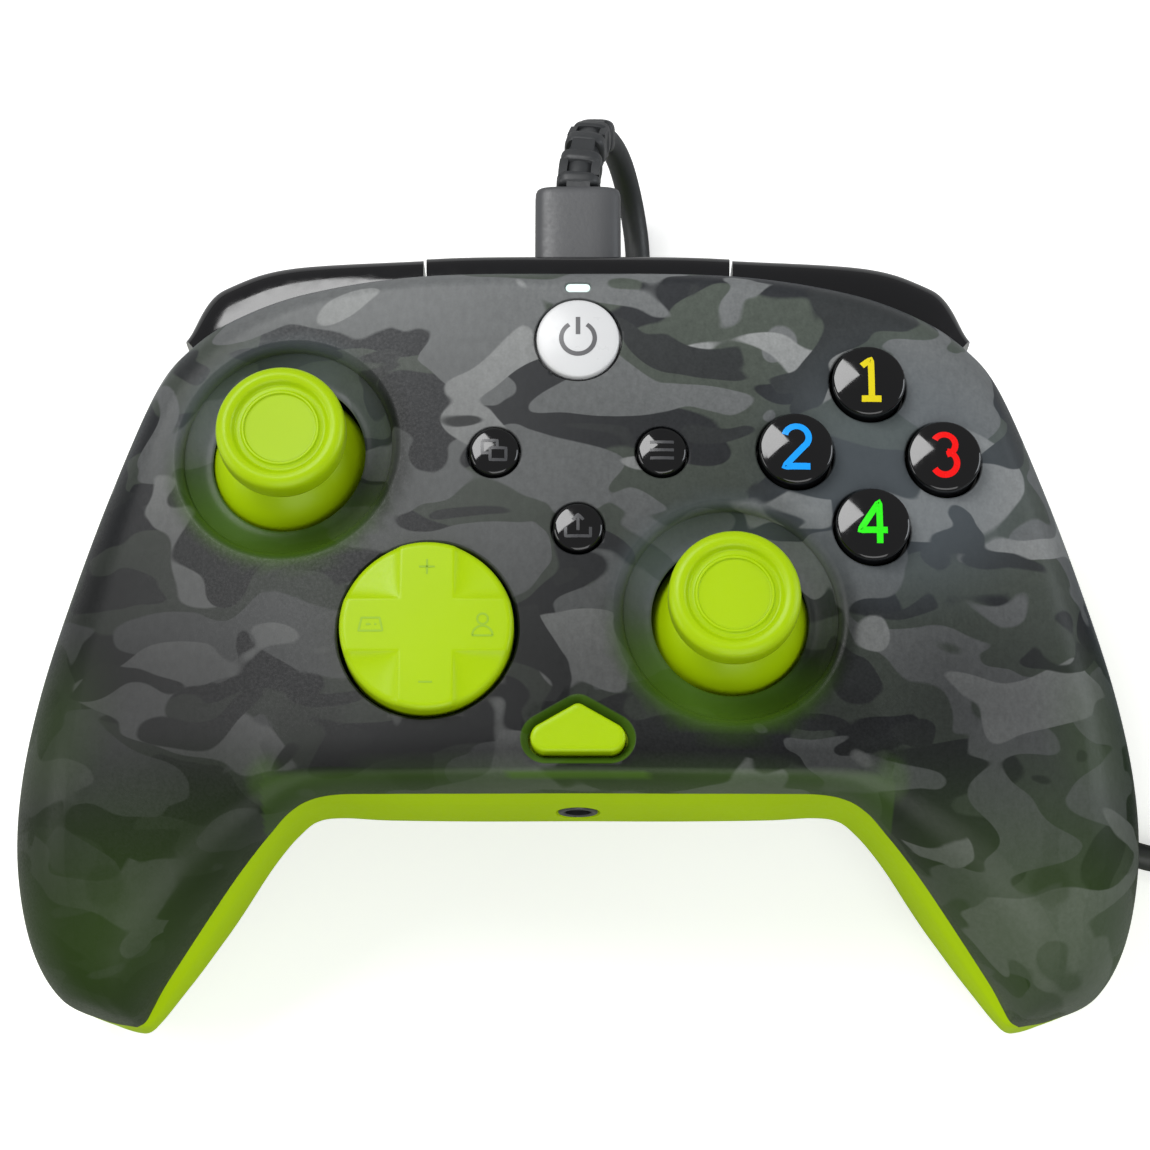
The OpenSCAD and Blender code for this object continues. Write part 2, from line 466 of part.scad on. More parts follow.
// Stick mechanism. Local origin at the pivot.
module at_stick(p) translate([p[0], p[1], zf(p) - stick_pivot_depth]) children();
function board_below(p) = board_top - (zf(p) - stick_pivot_depth);
module stick_module(p) at_stick(p) {
  b = board_below(p);
  difference() {
    union() {
      translate([-6.5, -6.5, b]) cube([13, 13, 3.6 - b]);
      translate([6.4, -4, b]) cube([2.2, 8, 1 - b]);
      translate([-4, 6.4, b]) cube([8, 2.2, 1 - b]);
    }
    translate([-5.4, -5.4, -3.6]) cube([10.8, 10.8, 10]);
    rotate([0, 90, 0]) cylinder(r = 1.3, h = 16, center = true, $fn = 40);
    rotate([90, 0, 0]) cylinder(r = 1.3, h = 16, center = true, $fn = 40);
  }
}
module stick_yoke(p) at_stick(p) difference() {
  union() {
    rotate([0, 90, 0]) cylinder(r = 1.2, h = 13, center = true, $fn = 40);
    cube([5.4, 4.2, 4], center = true);
  }
  cube([3.9, 1.7, 12], center = true);
  rotate([90, 0, 0]) cylinder(r = 0.88, h = 10, center = true, $fn = 32);
}
module stick_arch(p) at_stick(p) difference() {
  union() {
    for (s = [-1, 1]) translate([0, s * 5.75, 0]) rotate([90, 0, 0])
      cylinder(r = 1.2, h = 1.5, center = true, $fn = 40);
    intersection() {
      rotate([0, 90, 0]) difference() {
        cylinder(r = 5.1, h = 3.4, center = true, $fn = 64);
        cylinder(r = 4.1, h = 6, center = true, $fn = 64);
      }
      translate([-4, -6, -1.2]) cube([8, 12, 8]);
    }
    for (s = [-1, 1]) translate([0, s * 4.75, 0]) rotate([90, 0, 0])
      cylinder(r = 1.7, h = 0.7, center = true, $fn = 40);
  }
  translate([-1.25, -3.6, 2]) cube([2.5, 7.2, 6]);
}
module stick_shaft(p) at_stick(p) {
  translate([-0.9, -0.7, -2.4]) cube([1.8, 1.4, 5]);
  rotate([90, 0, 0]) cylinder(r = 0.8, h = 4, center = true, $fn = 32);
  translate([0, 0, 2.5]) cylinder(r = 1, h = 4.7, $fn = 32);
  translate([0, 0, 7]) cylinder(r = 1.8, h = stick_pivot_depth + stick_height - 12, $fn = 32);
}
// Cap: grooved top, neck and a ball skirt, with a socket on the shaft
module stick_cap(p) at_stick(p) {
  t = stick_pivot_depth + stick_height;
  r = stick_skirt_radius;
  c = stick_cap_radius;
  difference() {
    union() {
      rotate_extrude($fn = 96) polygon([[0, t - 2.2], [c - 3.6, t - 1.9], [c - 2.9, t - 0.5], [c - 1.8, t],
        [c - 0.8, t - 0.35], [c - 0.1, t - 1.4], [c, t - 2.4], [c - 0.4, t - 3.3], [c - 1.6, t - 4.2],
        [6.1, t - 5.4], [5.6, t - 7], [5.6, 10.5], [0, 10.5]]);
      intersection() {
        sphere(r = r, $fn = 96);
        translate([0, 0, 3.3]) cylinder(r = 20, h = 20);
      }
    }
    intersection() {
      sphere(r = r - 1.2, $fn = 96);
      translate([0, 0, 2]) cylinder(r = 20, h = 7.5);
    }
    translate([0, 0, 5]) cylinder(r = 1.9, h = t - 9.2, $fn = 32);
  }
}
module left_stick_module() color("Silver") stick_module(LS);
module right_stick_module() color("Silver") stick_module(RS);
module left_stick_yoke() color("White") stick_yoke(LS);
module right_stick_yoke() color("White") stick_yoke(RS);
module left_stick_arch() color("White") stick_arch(LS);
module right_stick_arch() color("White") stick_arch(RS);
module left_stick_shaft() color("Gray") stick_shaft(LS);
module right_stick_shaft() color("Gray") stick_shaft(RS);
module left_stick_cap() color("YellowGreen") stick_cap(LS);
module right_stick_cap() color("YellowGreen") stick_cap(RS);

// Face buttons stand on rubber pads; each has a flange that holds it under the shell
pad_top = board_top + 2.6;
module face_button(p) at_face(p) {
  foot = pad_top + face_button_travel + 0.1 - zf(p);
  intersection() {
    translate([0, 0, -4]) cylinder(r = face_button_radius, h = 4 + face_button_height);
    translate([0, 0, face_button_height - 14]) sphere(r = 14, $fn = 96);
  }
  translate([0, 0, -5.2]) cylinder(r = face_button_radius + 0.9, h = 1.4);
  translate([0, 0, foot]) cylinder(r = 3.4, h = -4 - foot);
}
module face_button_north() color("Black") face_button(FACE_BUTTONS[0]);
module face_button_west() color("Black") face_button(FACE_BUTTONS[1]);
module face_button_east() color("Black") face_button(FACE_BUTTONS[2]);
module face_button_south() color("Black") face_button(FACE_BUTTONS[3]);
module pads(P, r) for (p = P) translate([p[0], p[1], board_top])
  cylinder(r = r, h = pad_top - board_top, $fn = 40);
module face_button_membrane() color("LightGray") {
  translate([0, 0, board_top]) linear_extrude(1) for (p = FACE_BUTTONS) translate(p) circle(r = 5.5);
  translate([cluster_x - 6, cluster_y - 6, board_top]) cube([12, 12, 1]);
  pads(FACE_BUTTONS, 4);
}
module small_button(p, r, h) at_face(p) {
  foot = pad_top + small_button_travel + 0.1 - zf(p);
  intersection() {
    translate([0, 0, -3]) cylinder(r = r, h = 3 + h);
    translate([0, 0, h - 4 * r]) sphere(r = 4 * r, $fn = 96);
  }
  translate([0, 0, -4]) cylinder(r = r + 0.8, h = 1.2);
  translate([0, 0, foot]) cylinder(r = min(r * 0.5, 1.7), h = -3 - foot);
}
module view_button() color("Black") small_button(VIEW, small_button_radius, small_button_height);
module menu_button() color("Black") small_button(MENU, small_button_radius, small_button_height);
module share_button() color("Black") small_button(SHARE, small_button_radius, small_button_height);
module home_button() color("Gainsboro") small_button(HOME, home_radius, small_button_height + 0.2);
module function_button() color("YellowGreen") at_face(FUNCTION) {
  foot = pad_top + small_button_travel + 0.1 - zf(FUNCTION);
  translate([0, 0, -3]) linear_extrude(3.7) function_outline(0);
  translate([0, 0, -4]) linear_extrude(1.2) function_outline(0.9);
  for (x = [-FUNCTION_FOOT, FUNCTION_FOOT]) translate([x, -1, foot]) cylinder(r = 1.1, h = -3 - foot, $fn = 32);
}
FUNCTION_FOOT = 4.8;
module centre_button_membrane() color("LightGray") {
  pads([VIEW, MENU, SHARE], 2.6);
  pads([HOME], 2.1);
  pads([for (x = [-FUNCTION_FOOT, FUNCTION_FOOT]) FUNCTION + [x, -1]], 1.3);
  translate([-1.5, SHARE[1], board_top]) cube([3, HOME[1] - SHARE[1], 1]);
  translate([VIEW[0], VIEW[1] - 1.5, board_top]) cube([MENU[0] - VIEW[0], 3, 1]);
}

// D-pad on a cross pivot. Local origin at the pivot.
dpad_pivot = 3;
module at_dpad() at_face(DP, -dpad_pivot) children();
module dpad_cap() color("YellowGreen") at_dpad() {
  t = dpad_pivot + dpad_height;
  plunger = pad_top + 0.9 - (zf(DP) - dpad_pivot);
  difference() {
    translate([0, 0, -1]) cylinder(r = dpad_radius, h = t + 1, $fn = 96);
    translate([0, 0, -2]) cylinder(r = dpad_radius - 1.3, h = 2 + dpad_pivot + 0.3, $fn = 96);
    for (a = [45, 135, 225, 315]) rotate([0, 0, a]) translate([9.6, 0, t + 14.7]) sphere(r = 16, $fn = 96);
  }
  for (s = [-1, 1]) difference() {
    translate([-1.8, s * 4.3 - 0.7, -1.8]) cube([3.6, 1.4, dpad_pivot + 2.4]);
    rotate([90, 0, 0]) cylinder(r = 1.08, h = 14, center = true, $fn = 40);
  }
  for (a = [0, 90, 180, 270]) rotate([0, 0, a]) translate([8.2, 0, plunger])
    cylinder(r = 1.5, h = dpad_pivot + 0.6 - plunger, $fn = 32);
}
module dpad_rocker() color("Gray") at_dpad() {
  cube([5, 5, 3.4], center = true);
  rotate([0, 90, 0]) cylinder(r = 1, h = 10, center = true, $fn = 40);
  rotate([90, 0, 0]) cylinder(r = 1, h = 10, center = true, $fn = 40);
}
module dpad_carrier() color("Gray") at_dpad() {
  b = board_top - (zf(DP) - dpad_pivot);
  for (s = [-1, 1]) difference() {
    translate([s * 4.3 - 0.7, -1.8, b]) cube([1.4, 3.6, 1.8 - b]);
    rotate([0, 90, 0]) cylinder(r = 1.08, h = 14, center = true, $fn = 40);
  }
  translate([-5, -3, b]) cube([10, 6, 2]);
}
module dpad_membrane() color("LightGray") difference() {
  union() {
    translate([DP[0], DP[1], board_top]) cylinder(r = 11, h = 1);
    pads([for (a = [0:90:270]) DP + 8.2 * [cos(a), sin(a)]], 2.4);
  }
  translate([DP[0] - 5.1, DP[1] - 3.1, board_top - 1]) cube([10.2, 6.2, 6]);
}

// USB-C receptacle on the board's back edge
module slot(w, h, l) rotate([-90, 0, 0]) linear_extrude(l) {
  for (s = [-1, 1]) translate([s * (w - h) / 2, 0]) circle(r = h / 2, $fn = 32);
  square([w - h, h], center = true);
}
module usb_c_receptacle() color("Silver") translate([0, 40, plug_z]) {
  difference() {
    translate([-4.55, 0, -1.65]) cube([9.1, 7.4, 3.3]);
    translate([0, 0.8, 0]) slot(8.44, 2.6, 10);
  }
  translate([-3.2, 0.5, -0.35]) cube([6.4, 4.6, 0.7]);
}
module headset_jack() color("Black") difference() {
  union() {
    translate([-3.2, jack_y + 3.1, board_top]) cube([6.4, 10, 5.5]);
    translate([0, jack_y + 4, jack_z]) rotate([90, 0, 0]) cylinder(r = 2.5, h = 4, $fn = 48);
  }
  translate([0, jack_y + 12, jack_z]) rotate([90, 0, 0]) cylinder(r = jack_bore, h = 20, $fn = 48);
}
module bumper_switches() color("DimGray") both() {
  translate([44.4, 36.4, board_top]) cube([5, 3.4, 3.5]);
  translate([46.9, 39.7, board_top + 2.4]) rotate([-90, 0, 0]) cylinder(r = 0.9, h = 0.9, $fn = 24);
}

// Rumble motors lie in the grips, with their weights toward the middle of the body
module motor() {
  translate([motor_x, -30, motor_z]) rotate([-90, 0, 0]) cylinder(r = motor_radius, h = 14, $fn = 64);
  translate([motor_x, -16.2, motor_z]) rotate([-90, 0, 0]) cylinder(r = 2.2, h = 0.6, $fn = 40);
}
module weight() translate([motor_x, -15.2, motor_z]) rotate([-90, 0, 0]) {
  linear_extrude(4.5) intersection() {
    circle(r = weight_radius);
    translate([-8, -1.8]) square([16, 12]);
  }
  cylinder(r = 2, h = 4.5, $fn = 40);
  translate([0, 0, -0.3]) cylinder(r = 1, h = 1, $fn = 24);
}
module right_rumble_motor() color("Silver") motor();
module left_rumble_motor() color("Silver") mirror([1, 0, 0]) motor();
module right_rumble_weight() color("DimGray") weight();
module left_rumble_weight() color("DimGray") mirror([1, 0, 0]) weight();

module screw(p, z0, l) translate([p[0], p[1], z0]) {
  difference() {
    translate([0, 0, -1.5]) cylinder(r = 2.2, h = 1.5, $fn = 32);
    for (a = [0, 90]) rotate([0, 0, a]) translate([-1.3, -0.25, -1.6]) cube([2.6, 0.5, 0.9]);
  }
  cylinder(r = screw_radius, h = l, $fn = 32);
}
module shell_screws() color("Black") {
  for (p = SHELL_SCREWS) screw(p, post_z - 8, 15);
  for (p = GRIP_SCREWS) screw(p, grip_post_z - 8, 14);
}
module board_screws() color("Silver") for (p = BOARD_SCREWS) screw(p, board_top - board_thick, 6);

// Lead. The route's points are chosen by hand; x, y and height over the surface
plug_end = 66.5;
BOOT = [[0, plug_end - 1, 30.25], [0.1, plug_end + 2, 30.1], [0.5, plug_end + 5, 29.1], [1, plug_end + 8, 27.5],
  [1.7, plug_end + 10.7, 25.2], [2.4, plug_end + 12.8, 22.4], [3, 80.4, 20]];
ROUTE = [[2.4, 79.3, 22.4], [3, 80.4, 20], [4.7, 81.3, 16], [6.5, 80, 11], [8, 76.5, 6], [9, 71.5, 3],
  [9.5, 66, 2.1], [11, 58.5, 2], [16.5, 53.5, 2], [25, 52, 2], [34, 50, 2], [43, 45, 2], [51, 37, 2],
  [58, 27, 2], [63.5, 15, 2], [67.5, 2, 2], [70.5, -11, 2], [74, -20, 2], [80, -25, 2.1], [88, -27, 2.4],
  [97, -28, 2.8], [107, -28.2, 3], [115.2, -28.2, 3]];
COIL = [119, 2.2];
coil_z = 3;
coil_layers = 4;
layer_turns = 4.0625;
TAIL = [[149.4, 6, 16.2], [149.8, 15, 14.6], [150, 25, 10.4], [149, 34, 6.4], [145, 41, 4.4], [140, 43, 4],
  [136, 43, 4]];
function tangent(P, i) = let(v = P[min(i + 1, len(P) - 1)] - P[max(i - 1, 0)]) v / norm(v);
function ring(P, i, r, m) = let(t = tangent(P, i), a = abs(t[2]) > 0.9 ? [0, 1, 0] : [0, 0, 1],
    b0 = cross(a, t), b = b0 / norm(b0), c = cross(t, b))
  [for (k = [0:m - 1]) P[i] + r * (cos(k * 360 / m + 180 / m) * b + sin(k * 360 / m + 180 / m) * c)];
module tube(P, R, m) {
  n = len(P);
  polyhedron([for (i = [0:n - 1]) each ring(P, i, R[i], m)], concat(
    [for (i = [0:n - 2]) for (k = [0:m - 1]) let(a = i * m + k, b = i * m + (k + 1) % m) each
      [[a, b + m, b], [a, a + m, b + m]]],
    [[for (k = [0:m - 1]) k]], [[for (k = [m - 1:-1:0]) (n - 1) * m + k]]));
}
function spread(P, n) = [for (k = [0:n]) curve3(P, k * (len(P) - 1) / n)];
function curve3(P, u) = let(i = min(floor(u), len(P) - 2), t = u - i, n = len(P) - 1,
    b = P[i], c = P[i + 1], a = i > 0 ? P[i - 1] : 2 * b - c, d = i + 2 > n ? 2 * c - b : P[i + 2])
  0.5 * (2 * b + (c - a) * t + (2 * a - 5 * b + 4 * c - d) * t * t + (3 * b - a - 3 * c + d) * t * t * t);
function coil_point(v) = let(k = min(floor(v / layer_turns), coil_layers - 1), t = v - k * layer_turns,
    inner = coil_radius - layer_turns * coil_pitch,
    r = k % 2 == 0 ? coil_radius - coil_pitch * t : inner + coil_pitch * t,
    up = smooth(-0.25, 0.25, t) + (k < coil_layers - 1 ? smooth(-0.25, 0.25, t - layer_turns) : 0) + k - 1,
    z = k == 0 ? up - smooth(-0.25, 0.25, t) + 1 : up)
  [COIL[0] + r * cos(360 * v - 90), COIL[1] + r * sin(360 * v - 90), coil_z + coil_pitch * z];
coil_turns = coil_layers * layer_turns;
COIL_PATH = concat([[COIL[0] - 2 * cord_radius, COIL[1] - coil_radius, coil_z]],
  [for (k = [0:24 * coil_turns]) coil_point(k / 24)],
  [coil_point(coil_turns) + [0, 2 * cord_radius, 0]]);
module usb_c_plug() color("DimGray") difference() {
  port(0, 48.6, plug_end);
  translate([-20, plug_end - 2.2, plug_z + plug_thick / 2 - 0.6]) cube([40, 4, 2]);
}
module usb_c_shell() color("Silver") translate([0, 42.1, plug_z]) difference() {
  slot(8.25, 2.4, 7.6);
  translate([0, -1, 0]) slot(7.6, 1.8, 7.5);
}
module cable_boot() color("DimGray")
  tube(spread(BOOT, 18), [for (k = [0:18]) k % 3 == 2 ? 2.5 : 3.2 - k * 0.03], 12);
module cable_run() color("DimGray") {
  p = spread(ROUTE, 66);
  tube(p, [for (q = p) cord_radius], 8);
}
// Least distance between turns of the coil, less the cord's thickness, on points of its path
function coil_gap(P) = -2 * cord_radius
  + min([for (i = [0:len(P) - 13]) for (j = [i + 12:len(P) - 1]) norm(P[i] - P[j])]);
module cable_coil() color("DimGray") {
  echo(coil_least_gap = coil_gap(COIL_PATH));
  tube(COIL_PATH, [for (q = COIL_PATH) cord_radius], 6);
}
module cable_tail() color("DimGray") {
  p = spread(TAIL, 18);
  tube(p, [for (q = p) cord_radius], 8);
}
tie_in = coil_radius - layer_turns * coil_pitch - 2.6;
tie_out = coil_radius + 2.5;
tie_high = coil_z + 3 * coil_pitch + 2.3;
module cable_tie() color("Black") translate([COIL[0], COIL[1], 0]) rotate([0, 0, 135]) difference() {
  translate([tie_in - 0.7, -4, 0.05]) cube([tie_out - tie_in + 1.4, 8, tie_high + 0.7]);
  translate([tie_in, -5, 0.75]) cube([tie_out - tie_in, 10, tie_high - 0.75]);
}
module usb_a_plug() color("DimGray") {
  translate([113, 43, 4]) rotate([0, 90, 0]) linear_extrude(18) offset_box(7.6, 15.4, 2);
  translate([130.9, 43, 4]) rotate([0, 90, 0]) cylinder(r1 = 3.6, r2 = 2.5, h = 7, $fn = 40);
}
module offset_box(a, b, r) {
  for (s = [-1, 1]) for (t = [-1, 1]) translate([s * (a / 2 - r), t * (b / 2 - r)]) circle(r = r, $fn = 32);
  square([a, b - 2 * r], center = true);
  square([a - 2 * r, b], center = true);
}
module usb_a_shell() color("Silver") translate([95, 37, 1.75]) difference() {
  cube([20, 12, 4.5]);
  translate([-1, 0.4, 0.4]) cube([19.4, 11.2, 3.7]);
}
module usb_a_tongue() color("Black") translate([96, 37.45, 4]) cube([17, 11.1, 1.8]);

front_shell();
back_shell();
centre_bar();
light_pipe();
main_board();
left_stick_module();
right_stick_module();
left_stick_yoke();
right_stick_yoke();
left_stick_arch();
right_stick_arch();
left_stick_shaft();
right_stick_shaft();
left_stick_cap();
right_stick_cap();
face_button_membrane();
dpad_membrane();
centre_button_membrane();
dpad_carrier();
dpad_rocker();
dpad_cap();
face_button_north();
face_button_west();
face_button_east();
face_button_south();
home_button();
view_button();
menu_button();
share_button();
function_button();
usb_c_receptacle();
headset_jack();
bumper_switches();
left_rumble_motor();
right_rumble_motor();
left_rumble_weight();
right_rumble_weight();
left_trigger_pin();
right_trigger_pin();
left_trigger();
right_trigger();
left_trigger_spring();
right_trigger_spring();
left_bumper();
right_bumper();
shell_screws();
board_screws();
usb_c_plug();
usb_c_shell();
cable_boot();
cable_run();
cable_coil();
cable_tie();
cable_tail();
usb_a_plug();
usb_a_shell();
usb_a_tongue();
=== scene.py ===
"""Wired gamepad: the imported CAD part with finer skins, materials, floor, lights and camera."""
import json
from math import acos, cos, exp, floor, hypot, pi, radians, sin, sqrt

import bmesh
import bpy
import numpy as np
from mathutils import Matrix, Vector


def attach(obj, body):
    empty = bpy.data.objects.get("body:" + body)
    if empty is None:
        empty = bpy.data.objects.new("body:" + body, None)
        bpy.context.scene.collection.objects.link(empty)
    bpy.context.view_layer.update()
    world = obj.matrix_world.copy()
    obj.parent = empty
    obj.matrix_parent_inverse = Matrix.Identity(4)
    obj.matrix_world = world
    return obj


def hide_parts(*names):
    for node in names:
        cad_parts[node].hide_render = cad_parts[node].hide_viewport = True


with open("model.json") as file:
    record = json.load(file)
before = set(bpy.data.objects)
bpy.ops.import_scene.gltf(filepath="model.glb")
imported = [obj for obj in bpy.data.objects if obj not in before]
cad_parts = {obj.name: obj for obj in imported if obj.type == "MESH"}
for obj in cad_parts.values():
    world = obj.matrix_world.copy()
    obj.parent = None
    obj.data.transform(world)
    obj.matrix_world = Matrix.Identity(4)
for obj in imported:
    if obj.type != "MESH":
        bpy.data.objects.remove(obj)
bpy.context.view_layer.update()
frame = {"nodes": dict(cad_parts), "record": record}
MM = 0.001

# Shape functions of part.scad, in millimetres
FACE_HEIGHT = 46.0
CROWN = 0.0020
WALL = 2.0
SEAM = 0.2
BAND_HEIGHT = 16.2
BUMPER_END = 3.95
RIM_STEP = (BUMPER_END + 0.2, BUMPER_END + 0.24)
GAP_U = 0.975
BUMPER_GAP = 0.5 / 44
LAST = 14
OUT = [[0, 49, -5], [22, 49, -6], [38, 47.2, -7.7], [48, 44.2, -9.5], [54.5, 40.5, -11.5], [59.5, 35, -14],
       [65.5, 21, -16.5], [70.7, 6.5, -19], [75, -7.5, -21.5], [77.5, -20, -24], [77.9, -31, -26],
       [76, -41.5, -28.5], [72, -48.5, -30.5], [66, -51.3, -32], [61.5, -52.2, -32.5]]
INN = [[0, -24.6, -6], [14, -24.6, -6.2], [26, -24.5, -6.8], [32.5, -24.5, -7.4], [36.3, -25.2, -8.2],
       [39, -26.7, -9.5], [41.3, -28.8, -11.5], [43.8, -31.3, -13.7], [46.8, -34.6, -16.6],
       [50.3, -38.8, -20.2], [54, -43.4, -24], [57.2, -47.3, -27.8], [59, -49.8, -30.4],
       [60.2, -51.5, -31.8], [61.5, -52.2, -32.5]]
OUTB = [[0, 49, -24], [22, 49, -24], [38, 47.2, -24.5], [48, 44.2, -25], [54.3, 40.3, -25], [59.2, 34.8, -25],
        [65.2, 20.9, -26], [70.4, 6.4, -27], [74.6, -7.5, -28], [77.1, -20, -29.5], [77.5, -31, -31],
        [75.6, -41.3, -33], [71.7, -48.2, -34], [65.8, -51, -35], [61.4, -52.3, -35.5]]
INNB = [[0, -25.6, -18], [14, -25.6, -18.2], [26, -25.4, -18.6], [32.5, -25, -19.2], [36.1, -25.4, -20.2],
        [38.7, -27.1, -21.8], [41, -29.3, -23.5], [43.4, -32, -25.6], [46.2, -35.6, -28], [49.5, -40, -30],
        [53, -44.5, -32], [56.3, -48.4, -33.6], [58.4, -50.7, -34.6], [59.9, -52, -35.2],
        [61.4, -52.3, -35.5]]
EDGE_O = [3.5, 3.5, 4, 5, 6, 7, 8, 8.5, 9, 10, 10, 10, 8, 5, 2]
EDGE_I = [2.5, 2.5, 2.5, 3, 3.5, 4.5, 5.5, 6.5, 8, 9, 9.5, 9, 7, 4, 2]
UNDER_O = [7, 7, 7, 8, 9, 10, 11, 12, 12, 12, 11, 10, 8, 5, 2]
UNDER_I = [6, 6, 6, 6, 6.5, 7, 8, 9, 10, 11, 11, 10, 7, 4, 2]


def lerp(a, b, t):
    return a + (b - a) * t


def smooth(a, b, v):
    t = min(1.0, max(0.0, (v - a) / (b - a)))
    return t * t * (3 - 2 * t)


def control(points, i):
    n = len(points) - 1
    if i < 0:
        p = points[-i]
        return np.array([-p[0], p[1], p[2]], float) if isinstance(p, list) else float(p)
    if i > n:
        return 2 * np.array(points[n], float) - np.array(points[n - 1], float)
    return np.array(points[i], float)


def catmull(a, b, c, d, t):
    """Point at t between b and c of a smooth curve through a, b, c and d."""
    return 0.5 * (2 * b + (c - a) * t + (2 * a - 5 * b + 4 * c - d) * t * t
                  + (3 * b - a - 3 * c + d) * t ** 3)


def curve(points, u):
    i = min(int(floor(u)), len(points) - 2)
    t = u - i
    return catmull(*(control(points, i + k) for k in (-1, 0, 1, 2)), t)


def side(points, u):
    p = curve(points, abs(u))
    return np.array([-p[0] if u < 0 else p[0], p[1], p[2] + FACE_HEIGHT])


def unit2(v):
    return np.array(v[:2]) / max(hypot(v[0], v[1]), 1e-6)


def face_z(x, y):
    return FACE_HEIGHT - CROWN * x * x - 0.010 * max(0.0, -16 - y) ** 2


def under_z(x, y):
    base = 18 - 6 * smooth(-20, 15, y)
    hump = smooth(36, 26, abs(x)) * smooth(-12, 2, y) * smooth(45, 34, y)
    grip = smooth(-8, -40, y) * smooth(34, 50, abs(x))
    return base * (1 - hump) * (1 - grip)


def full(length):
    t = min(1.0, length / 26)
    return sqrt(1 - (1 - t) ** 2)


def band(u):
    return lerp(BAND_HEIGHT, BAND_HEIGHT - 3.6, min(1.0, abs(u) / 4))


def back_rim(u):
    return lerp(SEAM, band(u) + 0.7, smooth(RIM_STEP[1], RIM_STEP[0], abs(u)))


ARC = [k / 9 * pi / 2 for k in range(10)]
ACROSS = [k / 31 for k in range(1, 31)]


def front_section(u, w):
    o, i = side(OUT, u), side(INN, u)
    d = unit2(i - o)
    l0 = hypot(*(i - o)[:2])
    w1 = min(w, 0.3 * l0)
    l = l0 - 2 * w1
    a = o[:2] + d * w1
    eo = min(max(curve(EDGE_O, abs(u)) - 0.4 * w1, 0.8), 0.42 * l)
    ei = min(max(curve(EDGE_I, abs(u)) - 0.4 * w1, 0.8), 0.42 * l)
    f = full(l0)
    rows = []
    for t in ARC:
        p = a + d * eo * (1 - cos(t))
        rows.append([*p, o[2] + (face_z(*p) - w - o[2]) * f * sin(t)])
    for t in ACROSS:
        p = a + d * lerp(eo, l - ei, t)
        r = lerp(o[2], i[2], t)
        rows.append([*p, r + (face_z(*p) - w - r) * f])
    for t in reversed(ARC):
        p = a + d * (l - ei * (1 - cos(t)))
        rows.append([*p, i[2] + (face_z(*p) - w - i[2]) * f * sin(t)])
    return rows


def back_section(u, w, v):
    o, i, bo, bi = side(OUT, u), side(INN, u), side(OUTB, u), side(INNB, u)
    d = unit2(bi - bo)
    l0 = hypot(*(bi - bo)[:2])
    w1 = min(w, 0.3 * l0)
    l = l0 - 2 * w1
    a = bo[:2] + d * w1
    zo, zi = o[2] - back_rim(v), i[2] - SEAM
    bzo = min(bo[2], zo - 1.2)
    f = full(l0)
    eo = min(max(curve(UNDER_O, abs(u)) - 0.4 * w1, 1), 0.42 * l)
    ei = min(max(curve(UNDER_I, abs(u)) - 0.4 * w1, 1), 0.42 * l)
    q, p1, b = o[:2] + d * w1, i[:2] - d * w1, bi[:2] - d * w1
    rows = [[*lerp(q, a, 1.75 * t), lerp(zo, bzo, t)] for t in (0, 0.1, 0.2, 0.3, 0.4)]
    rows += [[*lerp(q, a, 0.7 + 0.3 * t), lerp(lerp(zo, bzo, 0.4), bzo, t)] for t in (0.33, 0.66)]
    for t in ARC:
        p = a + d * eo * (1 - cos(t))
        rows.append([*p, bzo - (bzo - under_z(*p) - 1.4 * w) * f * sin(t)])
    for t in ACROSS:
        p = a + d * lerp(eo, l - ei, t)
        r = lerp(bzo, bi[2], t)
        rows.append([*p, r - (r - under_z(*p) - 1.4 * w) * f])
    for t in reversed(ARC):
        p = a + d * (l - ei * (1 - cos(t)))
        rows.append([*p, bi[2] - (bi[2] - under_z(*p) - 1.4 * w) * f * sin(t)])
    rows += [[*lerp(p1, b, 0.7 + 0.3 * t), lerp(lerp(zi, bi[2], 0.4), bi[2], t)] for t in (0.66, 0.33)]
    rows += [[*lerp(p1, b, 1.75 * t), lerp(zi, bi[2], t)] for t in (0.4, 0.3, 0.2, 0.1, 0)]
    return rows


# Mesh helpers
def new_object(name, verts, faces, material, sharp=35.0):
    mesh = bpy.data.meshes.new(name)
    mesh.from_pydata([[c * MM for c in v] for v in verts], [], faces)
    mesh.validate()
    mesh.shade_smooth()
    mesh.set_sharp_from_angle(angle=radians(sharp))
    obj = bpy.data.objects.new(name, mesh)
    bpy.context.scene.collection.objects.link(obj)
    if material:
        mesh.materials.append(material)
    return obj


def fix_normals(obj):
    bm = bmesh.new()
    bm.from_mesh(obj.data)
    bmesh.ops.recalc_face_normals(bm, faces=bm.faces)
    bm.to_mesh(obj.data)
    bm.free()


def solid(name, verts, faces, material, sharp=35.0):
    obj = new_object(name, verts, faces, material, sharp)
    fix_normals(obj)
    return obj


def grid_faces(n, m, k=0, flip=False, round_n=False, round_m=False):
    faces = []
    for s in range(n if round_n else n - 1):
        for r in range(m if round_m else m - 1):
            a, b = k + s * m + r, k + s * m + (r + 1) % m
            c, d = k + ((s + 1) % n) * m + (r + 1) % m, k + ((s + 1) % n) * m + r
            faces.append((a, b, c, d) if flip else (a, d, c, b))
    return faces


def loft(rings):
    """Closed solid through rings of equal size, with flat ends."""
    n, m = len(rings), len(rings[0])
    ends = [tuple(range(m)), tuple(reversed(range((n - 1) * m, n * m)))]
    return [p for ring in rings for p in ring], grid_faces(n, m, round_m=True) + ends


def joined(parts):
    """Several (vertices, faces) as one."""
    verts, faces = [], []
    for v, f in parts:
        k = len(verts)
        verts += list(v)
        faces += [tuple(i + k for i in q) for q in f]
    return verts, faces


